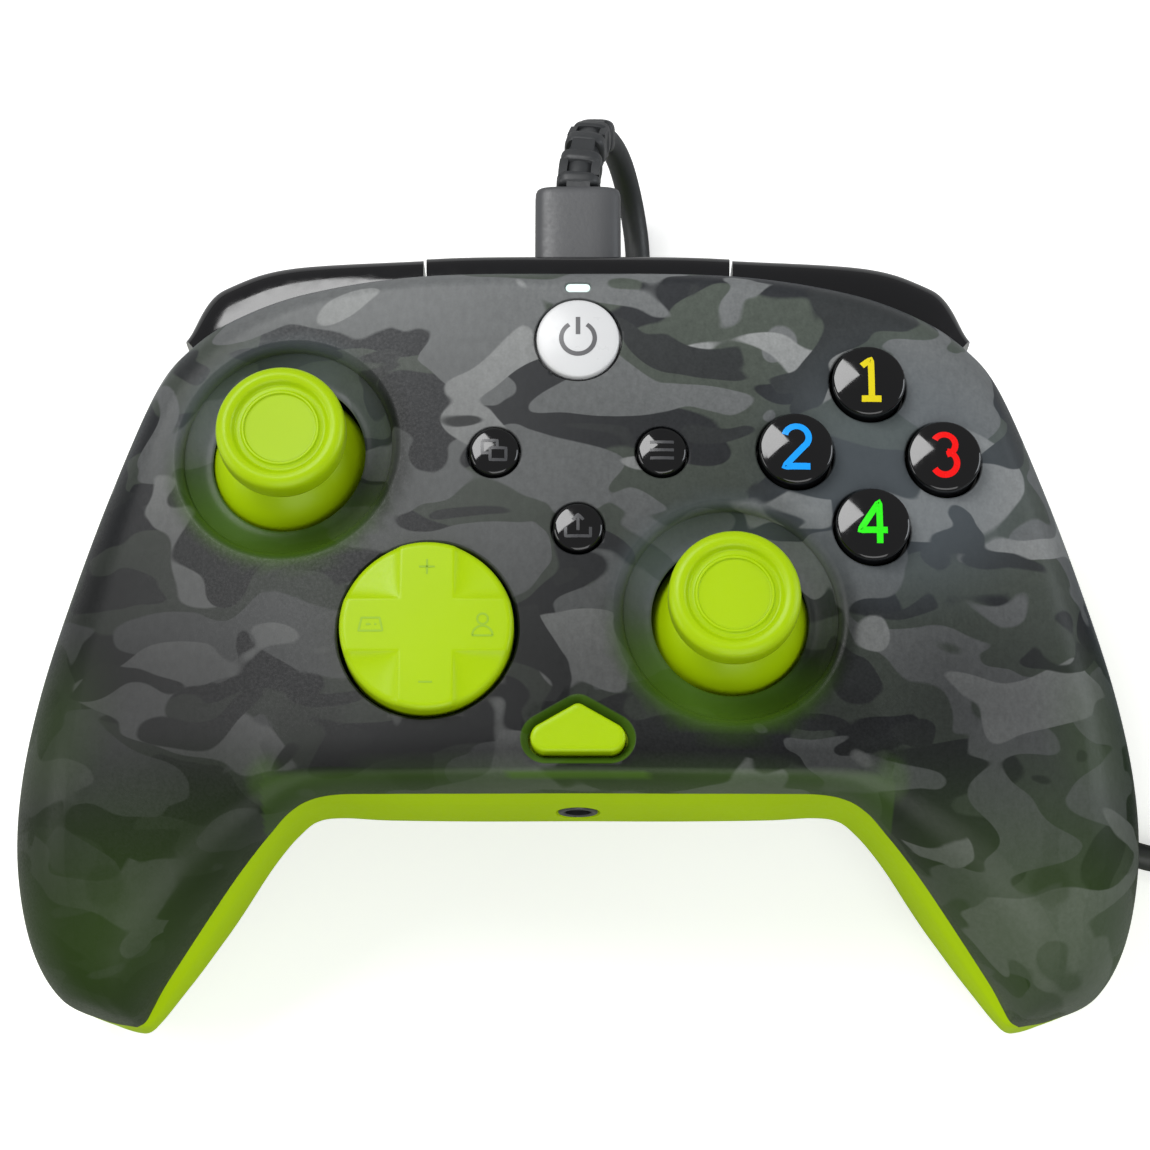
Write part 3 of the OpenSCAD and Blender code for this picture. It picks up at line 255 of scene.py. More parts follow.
def shell_mesh(outer, inner, tips, ends, down):
    """Closed shell from two skins of equal size, joined along both rims and closed at both grip tips."""
    n, m = len(outer), len(outer[0])
    k = n * m + 2
    verts = [p for row in outer for p in row] + tips + [p for row in inner for p in row] + ends
    faces = grid_faces(n, m, 0, down) + grid_faces(n, m, k, not down)
    for base, flip in ((0, down), (k, not down)):
        for r in range(m - 1):
            one = (base + n * m, base + r, base + r + 1)
            two = (base + (n - 1) * m + r, base + n * m + 1, base + (n - 1) * m + r + 1)
            faces += [t[::-1] if flip else t for t in (one, two)]
    for r, flip in ((0, down), (m - 1, not down)):
        line = [n * m] + [s * m + r for s in range(n)] + [n * m + 1]
        for a, b in zip(line, line[1:]):
            quad = (a, a + k, b + k, b)
            faces.append(quad[::-1] if flip else quad)
    return verts, faces


def rounded(points, radii, n=5):
    """A 2-D line with its corners rounded."""
    out = [np.array(points[0], float)]
    for i in range(1, len(points) - 1):
        p, a, b = (np.array(points[j], float) for j in (i, i - 1, i + 1))
        r = radii[i] if isinstance(radii, (list, tuple)) else radii
        ca = min(r, 0.45 * np.linalg.norm(a - p))
        cb = min(r, 0.45 * np.linalg.norm(b - p))
        s = p + (a - p) / np.linalg.norm(a - p) * ca
        e = p + (b - p) / np.linalg.norm(b - p) * cb
        for k in range(n + 1):
            t = k / n
            out.append((1 - t) ** 2 * s + 2 * t * (1 - t) * p + t * t * e)
    out.append(np.array(points[-1], float))
    return out


def lathe(profile, centre, segments=96, height=None):
    """Surface of revolution about a vertical line; height(x, y) lifts it where it has to follow the face."""
    verts, faces, rings = [], [], []
    for r, z in profile:
        if r < 1e-6:
            rings.append([len(verts)])
            verts.append([centre[0], centre[1], (height(*centre[:2]) if height else centre[2]) + z])
            continue
        ring = []
        for k in range(segments):
            x = centre[0] + r * cos(2 * pi * k / segments)
            y = centre[1] + r * sin(2 * pi * k / segments)
            ring.append(len(verts))
            verts.append([x, y, (height(x, y) if height else centre[2]) + z])
        rings.append(ring)
    for a, b in zip(rings, rings[1:]):
        if len(a) == 1 and len(b) == 1:
            continue
        for k in range(segments):
            j = (k + 1) % segments
            if len(a) == 1:
                faces.append((a[0], b[k], b[j]))
            elif len(b) == 1:
                faces.append((a[k], b[0], a[j]))
            else:
                faces.append((a[k], b[k], b[j], a[j]))
    return verts, faces


def lathed(name, profile, centre, material, segments=96, height=None, sharp=35.0):
    return solid(name, *lathe(profile, centre, segments, height), material, sharp)


def prism(outline, levels, height):
    """Closed solid through offsets of an outline: levels are (growth, height over the face)."""
    return loft([[[x, y, height(x, y) + z] for x, y in outline(g)] for g, z in levels])


def tube(points, radii, m=16):
    """Round tube along points, with its section turned as little as possible."""
    pts = [np.array(p, float) for p in points]
    n = len(pts)
    tangents = []
    for i in range(n):
        t = pts[min(i + 1, n - 1)] - pts[max(i - 1, 0)]
        tangents.append(t / np.linalg.norm(t))
    side_axis = np.cross(tangents[0], [0, 0, 1.0])
    if np.linalg.norm(side_axis) < 0.1:
        side_axis = np.cross(tangents[0], [0, 1.0, 0])
    side_axis /= np.linalg.norm(side_axis)
    rings = []
    for i in range(n):
        side_axis = side_axis - tangents[i] * np.dot(side_axis, tangents[i])
        side_axis /= np.linalg.norm(side_axis)
        up = np.cross(side_axis, tangents[i])
        r = radii[i] if hasattr(radii, "__len__") else radii
        turn = [2 * pi * k / m for k in range(m)]
        rings.append([pts[i] + r * (cos(a) * side_axis + sin(a) * up) for a in turn])
    return loft(rings)


def spline(points, n):
    """n + 1 points of a smooth curve through the given ones."""
    out = []
    last = len(points) - 1
    pts = [np.array(p, float) for p in points]
    for k in range(n + 1):
        u = k * last / n
        i = min(int(u), last - 1)
        t = u - i
        b, c = pts[i], pts[i + 1]
        a = pts[i - 1] if i > 0 else 2 * b - c
        d = pts[i + 2] if i + 2 <= last else 2 * c - b
        out.append(catmull(a, b, c, d, t))
    return out


def cut(obj, parts):
    """Takes the cutters away from obj. The cutters don't meet each other."""
    cutter = solid("cutter", *joined(parts), None)
    mod = obj.modifiers.new("cut", "BOOLEAN")
    mod.operation = "DIFFERENCE"
    mod.solver = "EXACT"
    mod.object = cutter
    bpy.context.view_layer.update()
    done = bpy.data.meshes.new_from_object(obj.evaluated_get(bpy.context.evaluated_depsgraph_get()))
    obj.modifiers.clear()
    old = obj.data
    obj.data = done
    bpy.data.meshes.remove(old)
    bpy.data.objects.remove(cutter)


def shade(obj, sharp=35.0, weighted=True):
    obj.data.shade_smooth()
    obj.data.set_sharp_from_angle(angle=radians(sharp))
    if weighted:
        mod = obj.modifiers.new("normals", "WEIGHTED_NORMAL")
        mod.keep_sharp = True
        mod.weight = 60


def bevelled(obj, width, segments=3, angle=35.0):
    mod = obj.modifiers.new("bevel", "BEVEL")
    mod.width = width * MM
    mod.segments = segments
    mod.limit_method = "ANGLE"
    mod.angle_limit = radians(angle)
    mod.harden_normals = False
    return obj


def place(obj, body, slot, *nodes):
    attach(obj, body)
    if nodes:
        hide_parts(*nodes)
    return obj


# Materials
class Nodes:
    """Short names for building a material's node tree."""

    def __init__(self, name):
        self.mat = bpy.data.materials.new(name)
        self.mat.use_nodes = True
        self.tree = self.mat.node_tree
        self.bsdf = self.tree.nodes["Principled BSDF"]

    def add(self, kind, **values):
        node = self.tree.nodes.new(kind)
        for key, value in values.items():
            if key in node.inputs:
                node.inputs[key].default_value = value
            else:
                setattr(node, key, value)
        return node

    def link(self, a, b):
        self.tree.links.new(a, b)

    def feed(self, socket, value):
        """Links or sets an input."""
        if isinstance(value, bpy.types.NodeSocket):
            self.link(value, socket)
        elif hasattr(value, "__len__"):
            socket.default_value = (*value, 1)
        else:
            socket.default_value = value

    def put(self, name, value):
        """Sets an input of the surface shader."""
        self.bsdf.inputs[name].default_value = value

    def coords(self, scale=(1, 1, 1), offset=(0, 0, 0)):
        geo = self.add("ShaderNodeTexCoord")
        mapping = self.add("ShaderNodeMapping", Scale=scale, Location=offset)
        self.link(geo.outputs["Object"], mapping.inputs["Vector"])
        return mapping.outputs["Vector"]

    def noise(self, vector, scale, detail=2.0, rough=0.5, distortion=0.0):
        node = self.add("ShaderNodeTexNoise", Scale=scale, Detail=detail, Roughness=rough,
                        Distortion=distortion)
        self.link(vector, node.inputs["Vector"])
        return node.outputs["Fac"]

    def ramp(self, fac, stops):
        node = self.add("ShaderNodeValToRGB")
        ramp = node.color_ramp
        while len(ramp.elements) < len(stops):
            ramp.elements.new(0.5)
        for element, (pos, value) in zip(ramp.elements, stops):
            element.position = pos
            element.color = (*value, 1) if hasattr(value, "__len__") else (value, value, value, 1)
        self.link(fac, node.inputs["Fac"])
        return node.outputs["Color"]

    def mix(self, fac, a, b, mode="MIX"):
        node = self.add("ShaderNodeMix", data_type="RGBA", blend_type=mode)
        for socket, value in ((node.inputs[0], fac), (node.inputs[6], a), (node.inputs[7], b)):
            self.feed(socket, value)
        return node.outputs[2]

    def math(self, op, a, b=0.0, c=0.0, clamp=False):
        node = self.add("ShaderNodeMath", operation=op, use_clamp=clamp)
        for socket, value in zip(node.inputs, (a, b, c)):
            self.feed(socket, value)
        return node.outputs[0]

    def bump(self, height, strength, distance):
        node = self.add("ShaderNodeBump", Strength=strength, Distance=distance)
        self.link(height, node.inputs["Height"])
        self.link(node.outputs["Normal"], self.bsdf.inputs["Normal"])


def plain_material(name, colour, rough, vary=0.06, grain=900.0, bump=0.05, metal=0.0, coat=0.0, spec=0.5):
    """Moulded plastic, rubber or metal with a little cloudiness and a fine grain."""
    n = Nodes(name)
    v = n.coords()
    cloud = n.noise(v, 60.0, 3.0)
    fine = n.noise(v, grain, 2.0)
    dark = tuple(c * (1 - vary) for c in colour)
    light = tuple(min(1.0, c * (1 + vary)) for c in colour)
    n.link(n.mix(n.ramp(cloud, [(0.3, 0.0), (0.7, 1.0)]), dark, light), n.bsdf.inputs["Base Color"])
    n.link(n.ramp(fine, [(0.3, max(0.02, rough - 0.05)), (0.7, rough + 0.05)]), n.bsdf.inputs["Roughness"])
    n.put("Metallic", metal)
    n.put("Specular IOR Level", spec)
    if coat:
        n.put("Coat Weight", coat)
        n.put("Coat Roughness", 0.08)
    if bump:
        n.bump(fine, bump, 0.0002)
    return n.mat


LIME = (0.375, 0.565, 0.001)


def lime_material(name, rough=0.34, gain=1.0, spec=0.22):
    """Dyed satin plastic: light scatters a little inside it."""
    n = Nodes(name)
    v = n.coords()
    cloud = n.noise(v, 35.0, 2.0)
    fine = n.noise(v, 1500.0, 2.0)
    base = tuple(c * gain for c in LIME)
    n.link(n.mix(n.ramp(cloud, [(0.35, 0.0), (0.65, 1.0)]), tuple(c * 0.96 for c in base),
                 tuple(c * 1.03 for c in base)), n.bsdf.inputs["Base Color"])
    n.link(n.ramp(fine, [(0.3, rough - 0.04), (0.7, rough + 0.05)]), n.bsdf.inputs["Roughness"])
    n.put("Specular IOR Level", spec)
    n.put("Subsurface Weight", 0.12)
    n.put("Subsurface Radius", (0.8, 1.0, 0.1))
    n.put("Subsurface Scale", 0.0012)
    n.bump(fine, 0.04, 0.0001)
    return n.mat


def camo_material(name):
    """Smoke-tinted shell over a printed camouflage film, with painted lime light where the shell is thin.
    The mesh attribute 'glow' says where, the sheen attribute where a painted bluish sheen makes it paler,
    'shadow' where painted shade darkens it."""
    n = Nodes(name)
    v = n.coords((0.62, 1.0, 1.0))
    w = n.coords((0.7, 1.05, 1.0), (0.031, 0.017, 0.0))
    y = n.coords((0.66, 1.0, 1.0), (-0.023, 0.041, 0.0))
    soft = n.noise(n.coords(), 26.0, 2.0)
    one = n.noise(v, 92.0, 0.8, 0.4, 0.6)
    two = n.noise(w, 98.0, 0.9, 0.4, 0.65)
    three = n.noise(y, 84.0, 0.9, 0.4, 0.6)
    charcoal, green = (0.026, 0.028, 0.031), (0.075, 0.088, 0.074)
    grey, pale = (0.155, 0.162, 0.163), (0.280, 0.288, 0.285)
    col = n.mix(n.ramp(one, [(0.470, 0.0), (0.482, 1.0)]), charcoal, green)
    col = n.mix(n.ramp(two, [(0.528, 0.0), (0.540, 1.0)]), col, grey)
    col = n.mix(n.ramp(three, [(0.585, 0.0), (0.597, 1.0)]), col, pale)
    col = n.mix(n.ramp(two, [(0.385, 1.0), (0.397, 0.0)]), col, (0.034, 0.037, 0.038))
    # painted sheen and shade: paler toward the bumpers and toward the right side, darker at the middle
    geo = n.add("ShaderNodeTexCoord")
    xyz = n.add("ShaderNodeSeparateXYZ")
    n.link(geo.outputs["Object"], xyz.inputs[0])
    up = n.math("MULTIPLY_ADD", xyz.outputs[1], 1 / 0.055, 0.12, True)
    painted_light_tone = n.math("ADD", n.math("MULTIPLY", up, 0.62), n.math("MULTIPLY", soft, 0.46))
    painted_light_tone = n.math("ADD", painted_light_tone, n.math("MULTIPLY_ADD", xyz.outputs[0], 2.6, 0.09))
    # painted shade: the 'shadow' attribute darkens the colour where shade is painted
    shadow = n.add("ShaderNodeAttribute", attribute_name="shadow")
    painted_light_tone = n.math("MULTIPLY", painted_light_tone, n.math("SUBTRACT", 1.0, shadow.outputs["Fac"]))
    col = n.mix(1.0, col, painted_light_tone, "MULTIPLY")
    weave = n.noise(n.coords((1.0, 1.0, 1.0)), 2600.0, 1.0)
    threads = n.noise(n.coords((1.0, 0.6, 1.0)), 1300.0, 1.0)
    grain = n.math("ADD", n.math("MULTIPLY", weave, 0.30), n.math("MULTIPLY", threads, 0.34))
    grain = n.math("ADD", grain, 0.68)
    col = n.mix(1.0, col, grain, "MULTIPLY")
    # painted sheen: a pale bluish colour mixed in where the sheen attribute says
    painted_sheen = n.add("ShaderNodeAttribute", attribute_name="painted_sheen")
    col = n.mix(painted_sheen.outputs["Fac"], col, (0.150, 0.180, 0.205))
    # painted lime light: dark lime mixed in where the 'glow' attribute says, patchy with the soft noise
    glow = n.add("ShaderNodeAttribute", attribute_name="glow")
    patchy = n.math("MULTIPLY", glow.outputs["Fac"], n.ramp(soft, [(0.25, 0.7), (0.7, 1.15)]),
                    clamp=True)
    col = n.mix(patchy, col, (0.062, 0.140, 0.008))
    n.link(col, n.bsdf.inputs["Base Color"])
    n.link(n.ramp(weave, [(0.3, 0.36), (0.7, 0.48)]), n.bsdf.inputs["Roughness"])
    n.put("Specular IOR Level", 0.22)
    n.bump(grain, 0.05, 0.00012)
    return n.mat


camo = camo_material("smoke_camo")
lime = lime_material("lime_satin")
lime_back = lime_material("lime_back", 0.45, 1.28, 0.06)
lime_mark = plain_material("lime_mark", (0.27, 0.47, 0.004), 0.5)
gloss = plain_material("black_gloss", (0.004, 0.004, 0.0045), 0.07, 0.1, 700.0, 0.0, coat=0.25)
bumper_gloss = plain_material("bumper_gloss", (0.006, 0.006, 0.007), 0.11, 0.1, 500.0, 0.0, coat=0.2)
engraved = plain_material("engraved", (0.055, 0.056, 0.06), 0.30, 0.05, 900.0, 0.0)
dark = plain_material("dark_plastic", (0.018, 0.018, 0.019), 0.42, 0.1, 1500.0, 0.08)
black = plain_material("shadow_black", (0.004, 0.004, 0.004), 0.6, 0.1, 800.0, 0.0)
pale = plain_material("pale_plastic", (0.66, 0.665, 0.67), 0.32, 0.02, 900.0, 0.02)
mark_grey = plain_material("mark_grey", (0.12, 0.12, 0.125), 0.4, 0.04, 900.0, 0.0)
rubber_grey = plain_material("rubber_grey", (0.30, 0.31, 0.31), 0.7, 0.05, 1200.0, 0.1)
cord_rubber = plain_material("cord_rubber", (0.030, 0.032, 0.034), 0.46, 0.1, 1300.0, 0.12)
plug_skin = plain_material("plug_skin", (0.078, 0.080, 0.084), 0.42, 0.06, 1700.0, 0.10)
board_green = plain_material("board_green", (0.012, 0.09, 0.035), 0.4, 0.15, 300.0, 0.05)
steel = plain_material("steel", (0.55, 0.56, 0.57), 0.28, 0.05, 700.0, 0.05, metal=1.0)
screw_black = plain_material("screw_black", (0.05, 0.05, 0.052), 0.35, 0.1, 900.0, 0.05, metal=1.0)
lamp = plain_material("light_pipe", (0.80, 0.95, 0.90), 0.25, 0.02, 800.0, 0.0)
lamp_shader = lamp.node_tree.nodes["Principled BSDF"]
lamp_shader.inputs["Emission Color"].default_value = (0.75, 1.0, 0.92, 1)
lamp_shader.inputs["Emission Strength"].default_value = 0.25
inks = {"north": (0.72, 0.60, 0.01), "west": (0.01, 0.33, 0.95), "east": (0.85, 0.006, 0.006),
        "south": (0.03, 0.85, 0.012)}
ink = {k: plain_material("ink_" + k, c, 0.25, 0.02, 900.0, 0.0, spec=0.3) for k, c in inks.items()}

SLOT_MATERIAL = {"smoke_plastic": camo, "lime_plastic": lime, "black_gloss": gloss, "dark_plastic": dark,
                 "pale_plastic": pale, "grey_rubber": rubber_grey, "cord_rubber": cord_rubber,
                 "board": board_green, "steel": steel}
node_slot = {s["node"]: s["material_slot"] for s in frame["record"]["subparts"]}
for name, obj in frame["nodes"].items():
    obj.data.materials.clear()
    obj.data.materials.append(SLOT_MATERIAL[node_slot[name]])
frame["nodes"]["light_pipe"].data.materials[0] = lamp
frame["nodes"]["shell_screws"].data.materials[0] = screw_black
frame["nodes"]["headset_jack"].data.materials[0] = dark

# Places on the face
LEFT_STICK, RIGHT_STICK, DPAD = (-40.0, 23.0), (20.6, -0.9), (-20.2, -3.3)
FACE_BUTTONS = {"north": (40.0, 32.3), "west": (29.7, 22.0), "east": (50.3, 22.0), "south": (40.0, 11.7)}
HOME, VIEW, MENU, SHARE = (0.0, 37.8), (-11.4, 21.5), (11.4, 21.5), (0.0, 10.6)
FUNCTION, LIGHT = (0.0, -17.0), (0.0, 45.6)
DISH_RADIUS = 15.3
PIVOT_DEPTH, STICK_HEIGHT, SKIRT_RADIUS, CAP_RADIUS = 10.5, 9.5, 11.4, 8.8


def zf(p):
    return face_z(*p)


def function_outline(g):
    circles = [(-4.3, -1.4, 2.0), (4.3, -1.4, 2.0), (0.0, 2.0, 1.2)]
    pts = []
    for k in range(96):
        nx, ny = cos(2 * pi * (k + 0.5) / 96), sin(2 * pi * (k + 0.5) / 96)
        x, y, r = max(circles, key=lambda c: c[0] * nx + c[1] * ny + c[2])
        pts.append((FUNCTION[0] + x + (r + g) * nx, FUNCTION[1] + y + (r + g) * ny))
    return pts


def pill_outline(centre, half, r):
    def outline(g):
        pts = []
        for k in range(32):
            a = 2 * pi * (k + 0.5) / 32
            pts.append((centre[0] + (half if cos(a) > 0 else -half) + (r + g) * cos(a),
                        centre[1] + (r + g) * sin(a)))
        return pts
    return outline


# Front shell
STATIONS = [s / 10 for s in range(-137, 138)]
TIP = side(OUT, LAST)


def shell_ends(section):
    mid = (np.array(section[0]) + np.array(section[-1])) / 2 + np.array([0, -0.4, 0])
    return [[-mid[0], mid[1], mid[2]], list(mid)]


INSET = 0.93
front = solid("front_shell_skin", *shell_mesh(
    [front_section(u, 0) for u in STATIONS], [front_section(u * INSET, WALL) for u in STATIONS],
    [[-TIP[0], TIP[1], TIP[2]], list(TIP)],
    shell_ends(front_section(STATIONS[-1] * INSET, WALL)), False), camo)


def hole(p, r, flare, segments=64):
    """Cutter for a round hole with a rounded mouth that follows the face."""
    quarter = [k / 8 * pi / 2 for k in range(9)]
    lip = [(r + flare * (1 - cos(t)), flare * (sin(t) - 1) + 0.02) for t in quarter]
    prof = [(0, -7), (r, -7)] + lip + [(r + flare + 0.3, 1.5), (0, 1.5)]
    return lathe(prof, (p[0], p[1], 0), segments, face_z)


cutters = [hole(p, DISH_RADIUS - 0.8, 1.7, 160) for p in (LEFT_STICK, RIGHT_STICK)]
cutters += [hole(p, 5.4, 0.35) for p in FACE_BUTTONS.values()]
cutters += [hole(p, 3.65, 0.3) for p in (VIEW, MENU, SHARE)]
cutters += [hole(HOME, 6.05, 0.25, 96), hole(DPAD, 12.2, 0.45, 128)]
cutters.append(prism(function_outline, [(0.35, -7), (0.35, -1.25), (1.25, -0.12), (1.5, 0.03), (1.7, 1.5)],
                     face_z))
cutters.append(prism(pill_outline(LIGHT, 1.1, 0.6), [(0.1, -7), (0.1, -0.25), (0.3, 0.03), (0.4, 1.5)],
                     face_z))
cut(front, cutters)


def glow_at(x, y, z):
    """How much painted lime light, standing for light through the shell, goes into its colour at a point."""
    g = 0.0
    for p in (LEFT_STICK, RIGHT_STICK):
        dx, dy = x - p[0], y - p[1]
        r = hypot(dx, dy)
        low = 0.5 - 0.5 * (0.25 * dx + 0.97 * dy) / max(r, 1.0)
        g = max(g, smooth(18.0, 14.4, r) * (0.02 + 0.74 * smooth(0.50, 0.95, low)))
    depth = face_z(x, y) - z
    grip_low = smooth(-14, -44, y) * smooth(30, 48, abs(x))
    g = max(g, 0.27 * grip_low * (0.5 + 0.5 * smooth(26, 6, depth)))
    if y < -19 and abs(x) < 42:
        g = max(g, 0.42 * smooth(-21.6, -23.2, y))
    dx, dy = abs(x - FUNCTION[0]), y - FUNCTION[1]
    if z < face_z(x, y) - 0.1 and dx < 9 and -6.5 < dy < 6:
        g = max(g, 0.95)
    g = max(g, 0.15 * smooth(60, 72, abs(x)) * smooth(2, -14, y) * smooth(-34, -18, y))
    g = max(g, 0.30 * smooth(3.5, 1.0, hypot(abs(x) - 41.8, (y + 23.2) * 0.8)))
    return min(1.0, g)


def painted_sheen_at(x, y, z):
    """How much painted bluish sheen lies on the shell where it turns down at its upper sides, round the face
    buttons and on the upper side of each stick dish.
    """
    depth = face_z(x, y) - z
    h = (0.55 if x > 0 else 0.22) * smooth(1.0, 9.0, depth) * smooth(30, 50, abs(x)) * smooth(-30, 2, y)
    h = max(h, 0.12 * smooth(0.6, 3.0, depth) * smooth(10, 30, y))
    h = max(h, 0.30 * smooth(24, 8, hypot(x - 44, y - 20)))
    for p in (LEFT_STICK, RIGHT_STICK):
        r = hypot(x - p[0], y - p[1])
        h = max(h, 0.30 * smooth(18, 14, r) * smooth(0.2, 0.9, (y - p[1] - 0.5 * (x - p[0])) / max(r, 1.0)))
    return h


def painted_shade_at(x, y, z):
    """Painted shade on the shell: over the screw posts, along the inner frame's edge, round the lower right of
    each dish lip and on the rim and lower sides of the grips.
    """
    g = 0.0
    for s in (-1, 1):
        g = max(g, 0.62 * smooth(4.6, 2.0, hypot(x - s * 63.5, y + 36)))
        g = max(g, 0.45 * smooth(2.4, 0.8, abs(x - s * 63.5)) * smooth(11, 7, abs(y + 36)))
        g = max(g, 0.35 * smooth(7, 3, hypot(x - s * 36, (y + 15) * 1.4)))
    for p in (LEFT_STICK, RIGHT_STICK):
        r = hypot(x - p[0], y - p[1])
        low = 0.5 + 0.5 * (0.6 * (x - p[0]) - 0.8 * (y - p[1])) / max(r, 1.0)
        g = max(g, (0.15 + 0.5 * low) * smooth(2.2, 0.4, abs(r - 16.0)))
    depth = face_z(x, y) - z
    g = max(g, 0.70 * smooth(5, 16, depth) * smooth(12, -16, y) * smooth(30, 48, abs(x)))
    g = max(g, 0.35 * smooth(4, -14, y) * smooth(34, 52, abs(x)))
    if abs(x) < 42:
        g = max(g, 0.45 * smooth(-17, -20, y) * smooth(-23.0, -21.6, y))
    return g


def paint(obj):
    """Writes the painted light and shade attributes, lime glow, sheen and shadow, on every vertex."""
    co = [v.co / MM for v in obj.data.vertices]
    for name, rule in (("glow", glow_at), ("painted_sheen", painted_sheen_at), ("shadow", painted_shade_at)):
        layer = obj.data.attributes.get(name) or obj.data.attributes.new(name, "FLOAT", "POINT")
        layer.data.foreach_set("value", np.array([rule(*c) for c in co], np.float32))


paint(front)
shade(front, 32.0)
place(front, "housing", "smoke_plastic", "front_shell")

for label, p in (("left", LEFT_STICK), ("right", RIGHT_STICK)):
    prof = rounded([(DISH_RADIUS - 0.2, -3.0), (DISH_RADIUS - 0.75, -1.55), (13.7, -2.35), (12.6, -3.1),
                    (11.75, -3.5), (10.9, -3.6), (10.65, -3.8), (10.75, -4.2), (11.3, -4.4)],
                   [0, 0.1, 1.0, 0.9, 0.5, 0.2, 0.2, 0.1, 0], 6)
    dish = lathed(label + "_stick_dish", prof, (p[0], p[1], 0), camo, 128, face_z)
    paint(dish)
    place(dish, "housing", "smoke_plastic")

# Back shell
BACK_STATIONS = sorted(set(STATIONS) | {s * v for s in (-1, 1) for v in RIM_STEP})
low_tips = [[-TIP[0], TIP[1], TIP[2] - SEAM], [TIP[0], TIP[1], TIP[2] - SEAM]]
back = solid("back_shell_skin", *shell_mesh(
    [back_section(u, 0, u) for u in BACK_STATIONS], [back_section(u * INSET, WALL, u) for u in BACK_STATIONS],
    low_tips, shell_ends(back_section(BACK_STATIONS[-1] * INSET, WALL, LAST)), True), lime_back)
SCREWS = [(-19.3, 23.5, 18.0), (19.3, 23.5, 18.0), (-64.0, -35.5, 13.0), (64.0, -35.5, 13.0)]
WELL_RADIUS = 2.6
JACK_Y, JACK_Z = -25.4, 31.35


def box_cutter(lo, hi):
    x0, y0, z0 = lo
    x1, y1, z1 = hi
    v = [(x, y, z) for x in (x0, x1) for y in (y0, y1) for z in (z0, z1)]
    return v, [(0, 1, 3, 2), (4, 6, 7, 5), (0, 4, 5, 1), (2, 3, 7, 6), (0, 2, 6, 4), (1, 5, 7, 3)]


def jack_cutter():
    prof = [(0, -12), (2.75, -12), (2.75, -0.4), (3.1, 0.1), (3.3, 2.0), (0, 2.0)]
    verts, faces = lathe(prof, (0, 0, 0), 64)
    return [[x, JACK_Y - z, JACK_Z + y] for x, y, z in verts], faces


def window_cutter(s):
    """Trigger opening: a wide slot with a deeper pocket at its outer end."""
    lo, hi = (26.6, 39.6, 4.0), (52.8, 60.0, 44.0)
    outline = [(lo[0], lo[1]), (48.8, lo[1]), (48.8, 37.4), (hi[0], 37.4), (hi[0], hi[1]), (lo[0], hi[1])]
    verts = [(s * x, y, lo[2]) for x, y in outline] + [(s * x, y, hi[2]) for x, y in outline]
    n = len(outline)
    faces = [(k, (k + 1) % n, n + (k + 1) % n, n + k) for k in range(n)]
    return verts, faces + [tuple(range(n)), tuple(range(n, 2 * n))]


def well_cutter(x, y, top):
    z = under_z(x, y)
    prof = [(0, -3), (2.95, -3), (2.75, z + 0.3), (WELL_RADIUS, z + 0.8), (WELL_RADIUS, top), (0, top)]
    return lathe(prof, (x, y, 0), 48)


cut(back, [window_cutter(1), window_cutter(-1), jack_cutter()] + [well_cutter(*screw) for screw in SCREWS])
shade(back, 32.0)
place(back, "housing", "lime_plastic", "back_shell")
for k, (x, y, top) in enumerate(SCREWS):
    prof = [(WELL_RADIUS, under_z(x, y) + 1.0), (WELL_RADIUS, top), (WELL_RADIUS / 2, top)]
    place(lathed("screw_well_%d" % k, prof, (x, y, 0), lime_back, 48), "housing", "lime_plastic")
prof = rounded([(2.72, -1.2), (2.72, -0.1), (2.35, 0.05), (1.8, -0.25), (1.76, -3)], [0, 0.2, 0.3, 0.2, 0], 4)
socket = lathed("headset_socket_lip", prof, (0, 0, 0), engraved, 64)
for v in socket.data.vertices:
    x, y, z = v.co / MM
    v.co = Vector((x, JACK_Y - 0.15 - z, JACK_Z + y)) * MM
place(socket, "housing", "dark_plastic")


# Bar and bumpers
def out_normal(u):
    t = unit2(side(OUT, u + 0.02) - side(OUT, u - 0.02))
    return np.array([-t[1], t[0]])


def band_points(u, top):
    o, n, b = side(OUT, u), out_normal(u), band(u)
    w = 1 + 0.55 * smooth(0.9, 2.6, abs(u)) - 0.87 * smooth(3, 4, abs(u))
    v = 1 - 1.15 * smooth(3.3, 3.9, abs(u))
    q = [(-1.8, top), (0.4, top), (3.1, top - 0.7), (4.3, top - 2.3), (4.6, -5.5), (4.3, -b + 3.5),
         (3.2, -b + 0.5), (2.0, -b), (-1.8, -b), (-1.8, -b + 1.8), (1.6, -b + 1.9), (2.3, -b + 4),
         (2.6, -5.5), (2.2, top - 2.9), (1.2, top - 2.2), (-1.8, top - 2)]
    radii = [0, 0.8, 1.2, 1.4, 2.5, 2.5, 1.2, 0.5, 0, 0, 0.5, 1, 1, 0.5, 0.5, 0]
    line = rounded([q[-1]] + q + [q[0]], [0] + radii + [0], 4)[1:-1]
    pts = []
    for x, z in line:
        x *= w if x > 0 else v
        pts.append([o[0] + n[0] * x, o[1] + n[1] * x, o[2] + z])
    return pts


def band_object(name, us, top, material):
    return solid(name, *loft([band_points(u, top) for u in us]), material, 40.0)


def block(name, lo, hi, bevel, body):
    """Dark box with softened edges, between two corners."""
    obj = bevelled(solid(name, *box_cutter(lo, hi), dark), bevel)
    place(obj, body, "dark_plastic")


bar_end = GAP_U - BUMPER_GAP
bar = band_object("centre_bar_skin", [lerp(-bar_end, bar_end, k / 60) for k in range(61)], -0.1, bumper_gloss)
PLUG_Z, PLUG_WIDTH, PLUG_THICK, PLUG_END = 30.25, 12.4, 6.4, 66.5


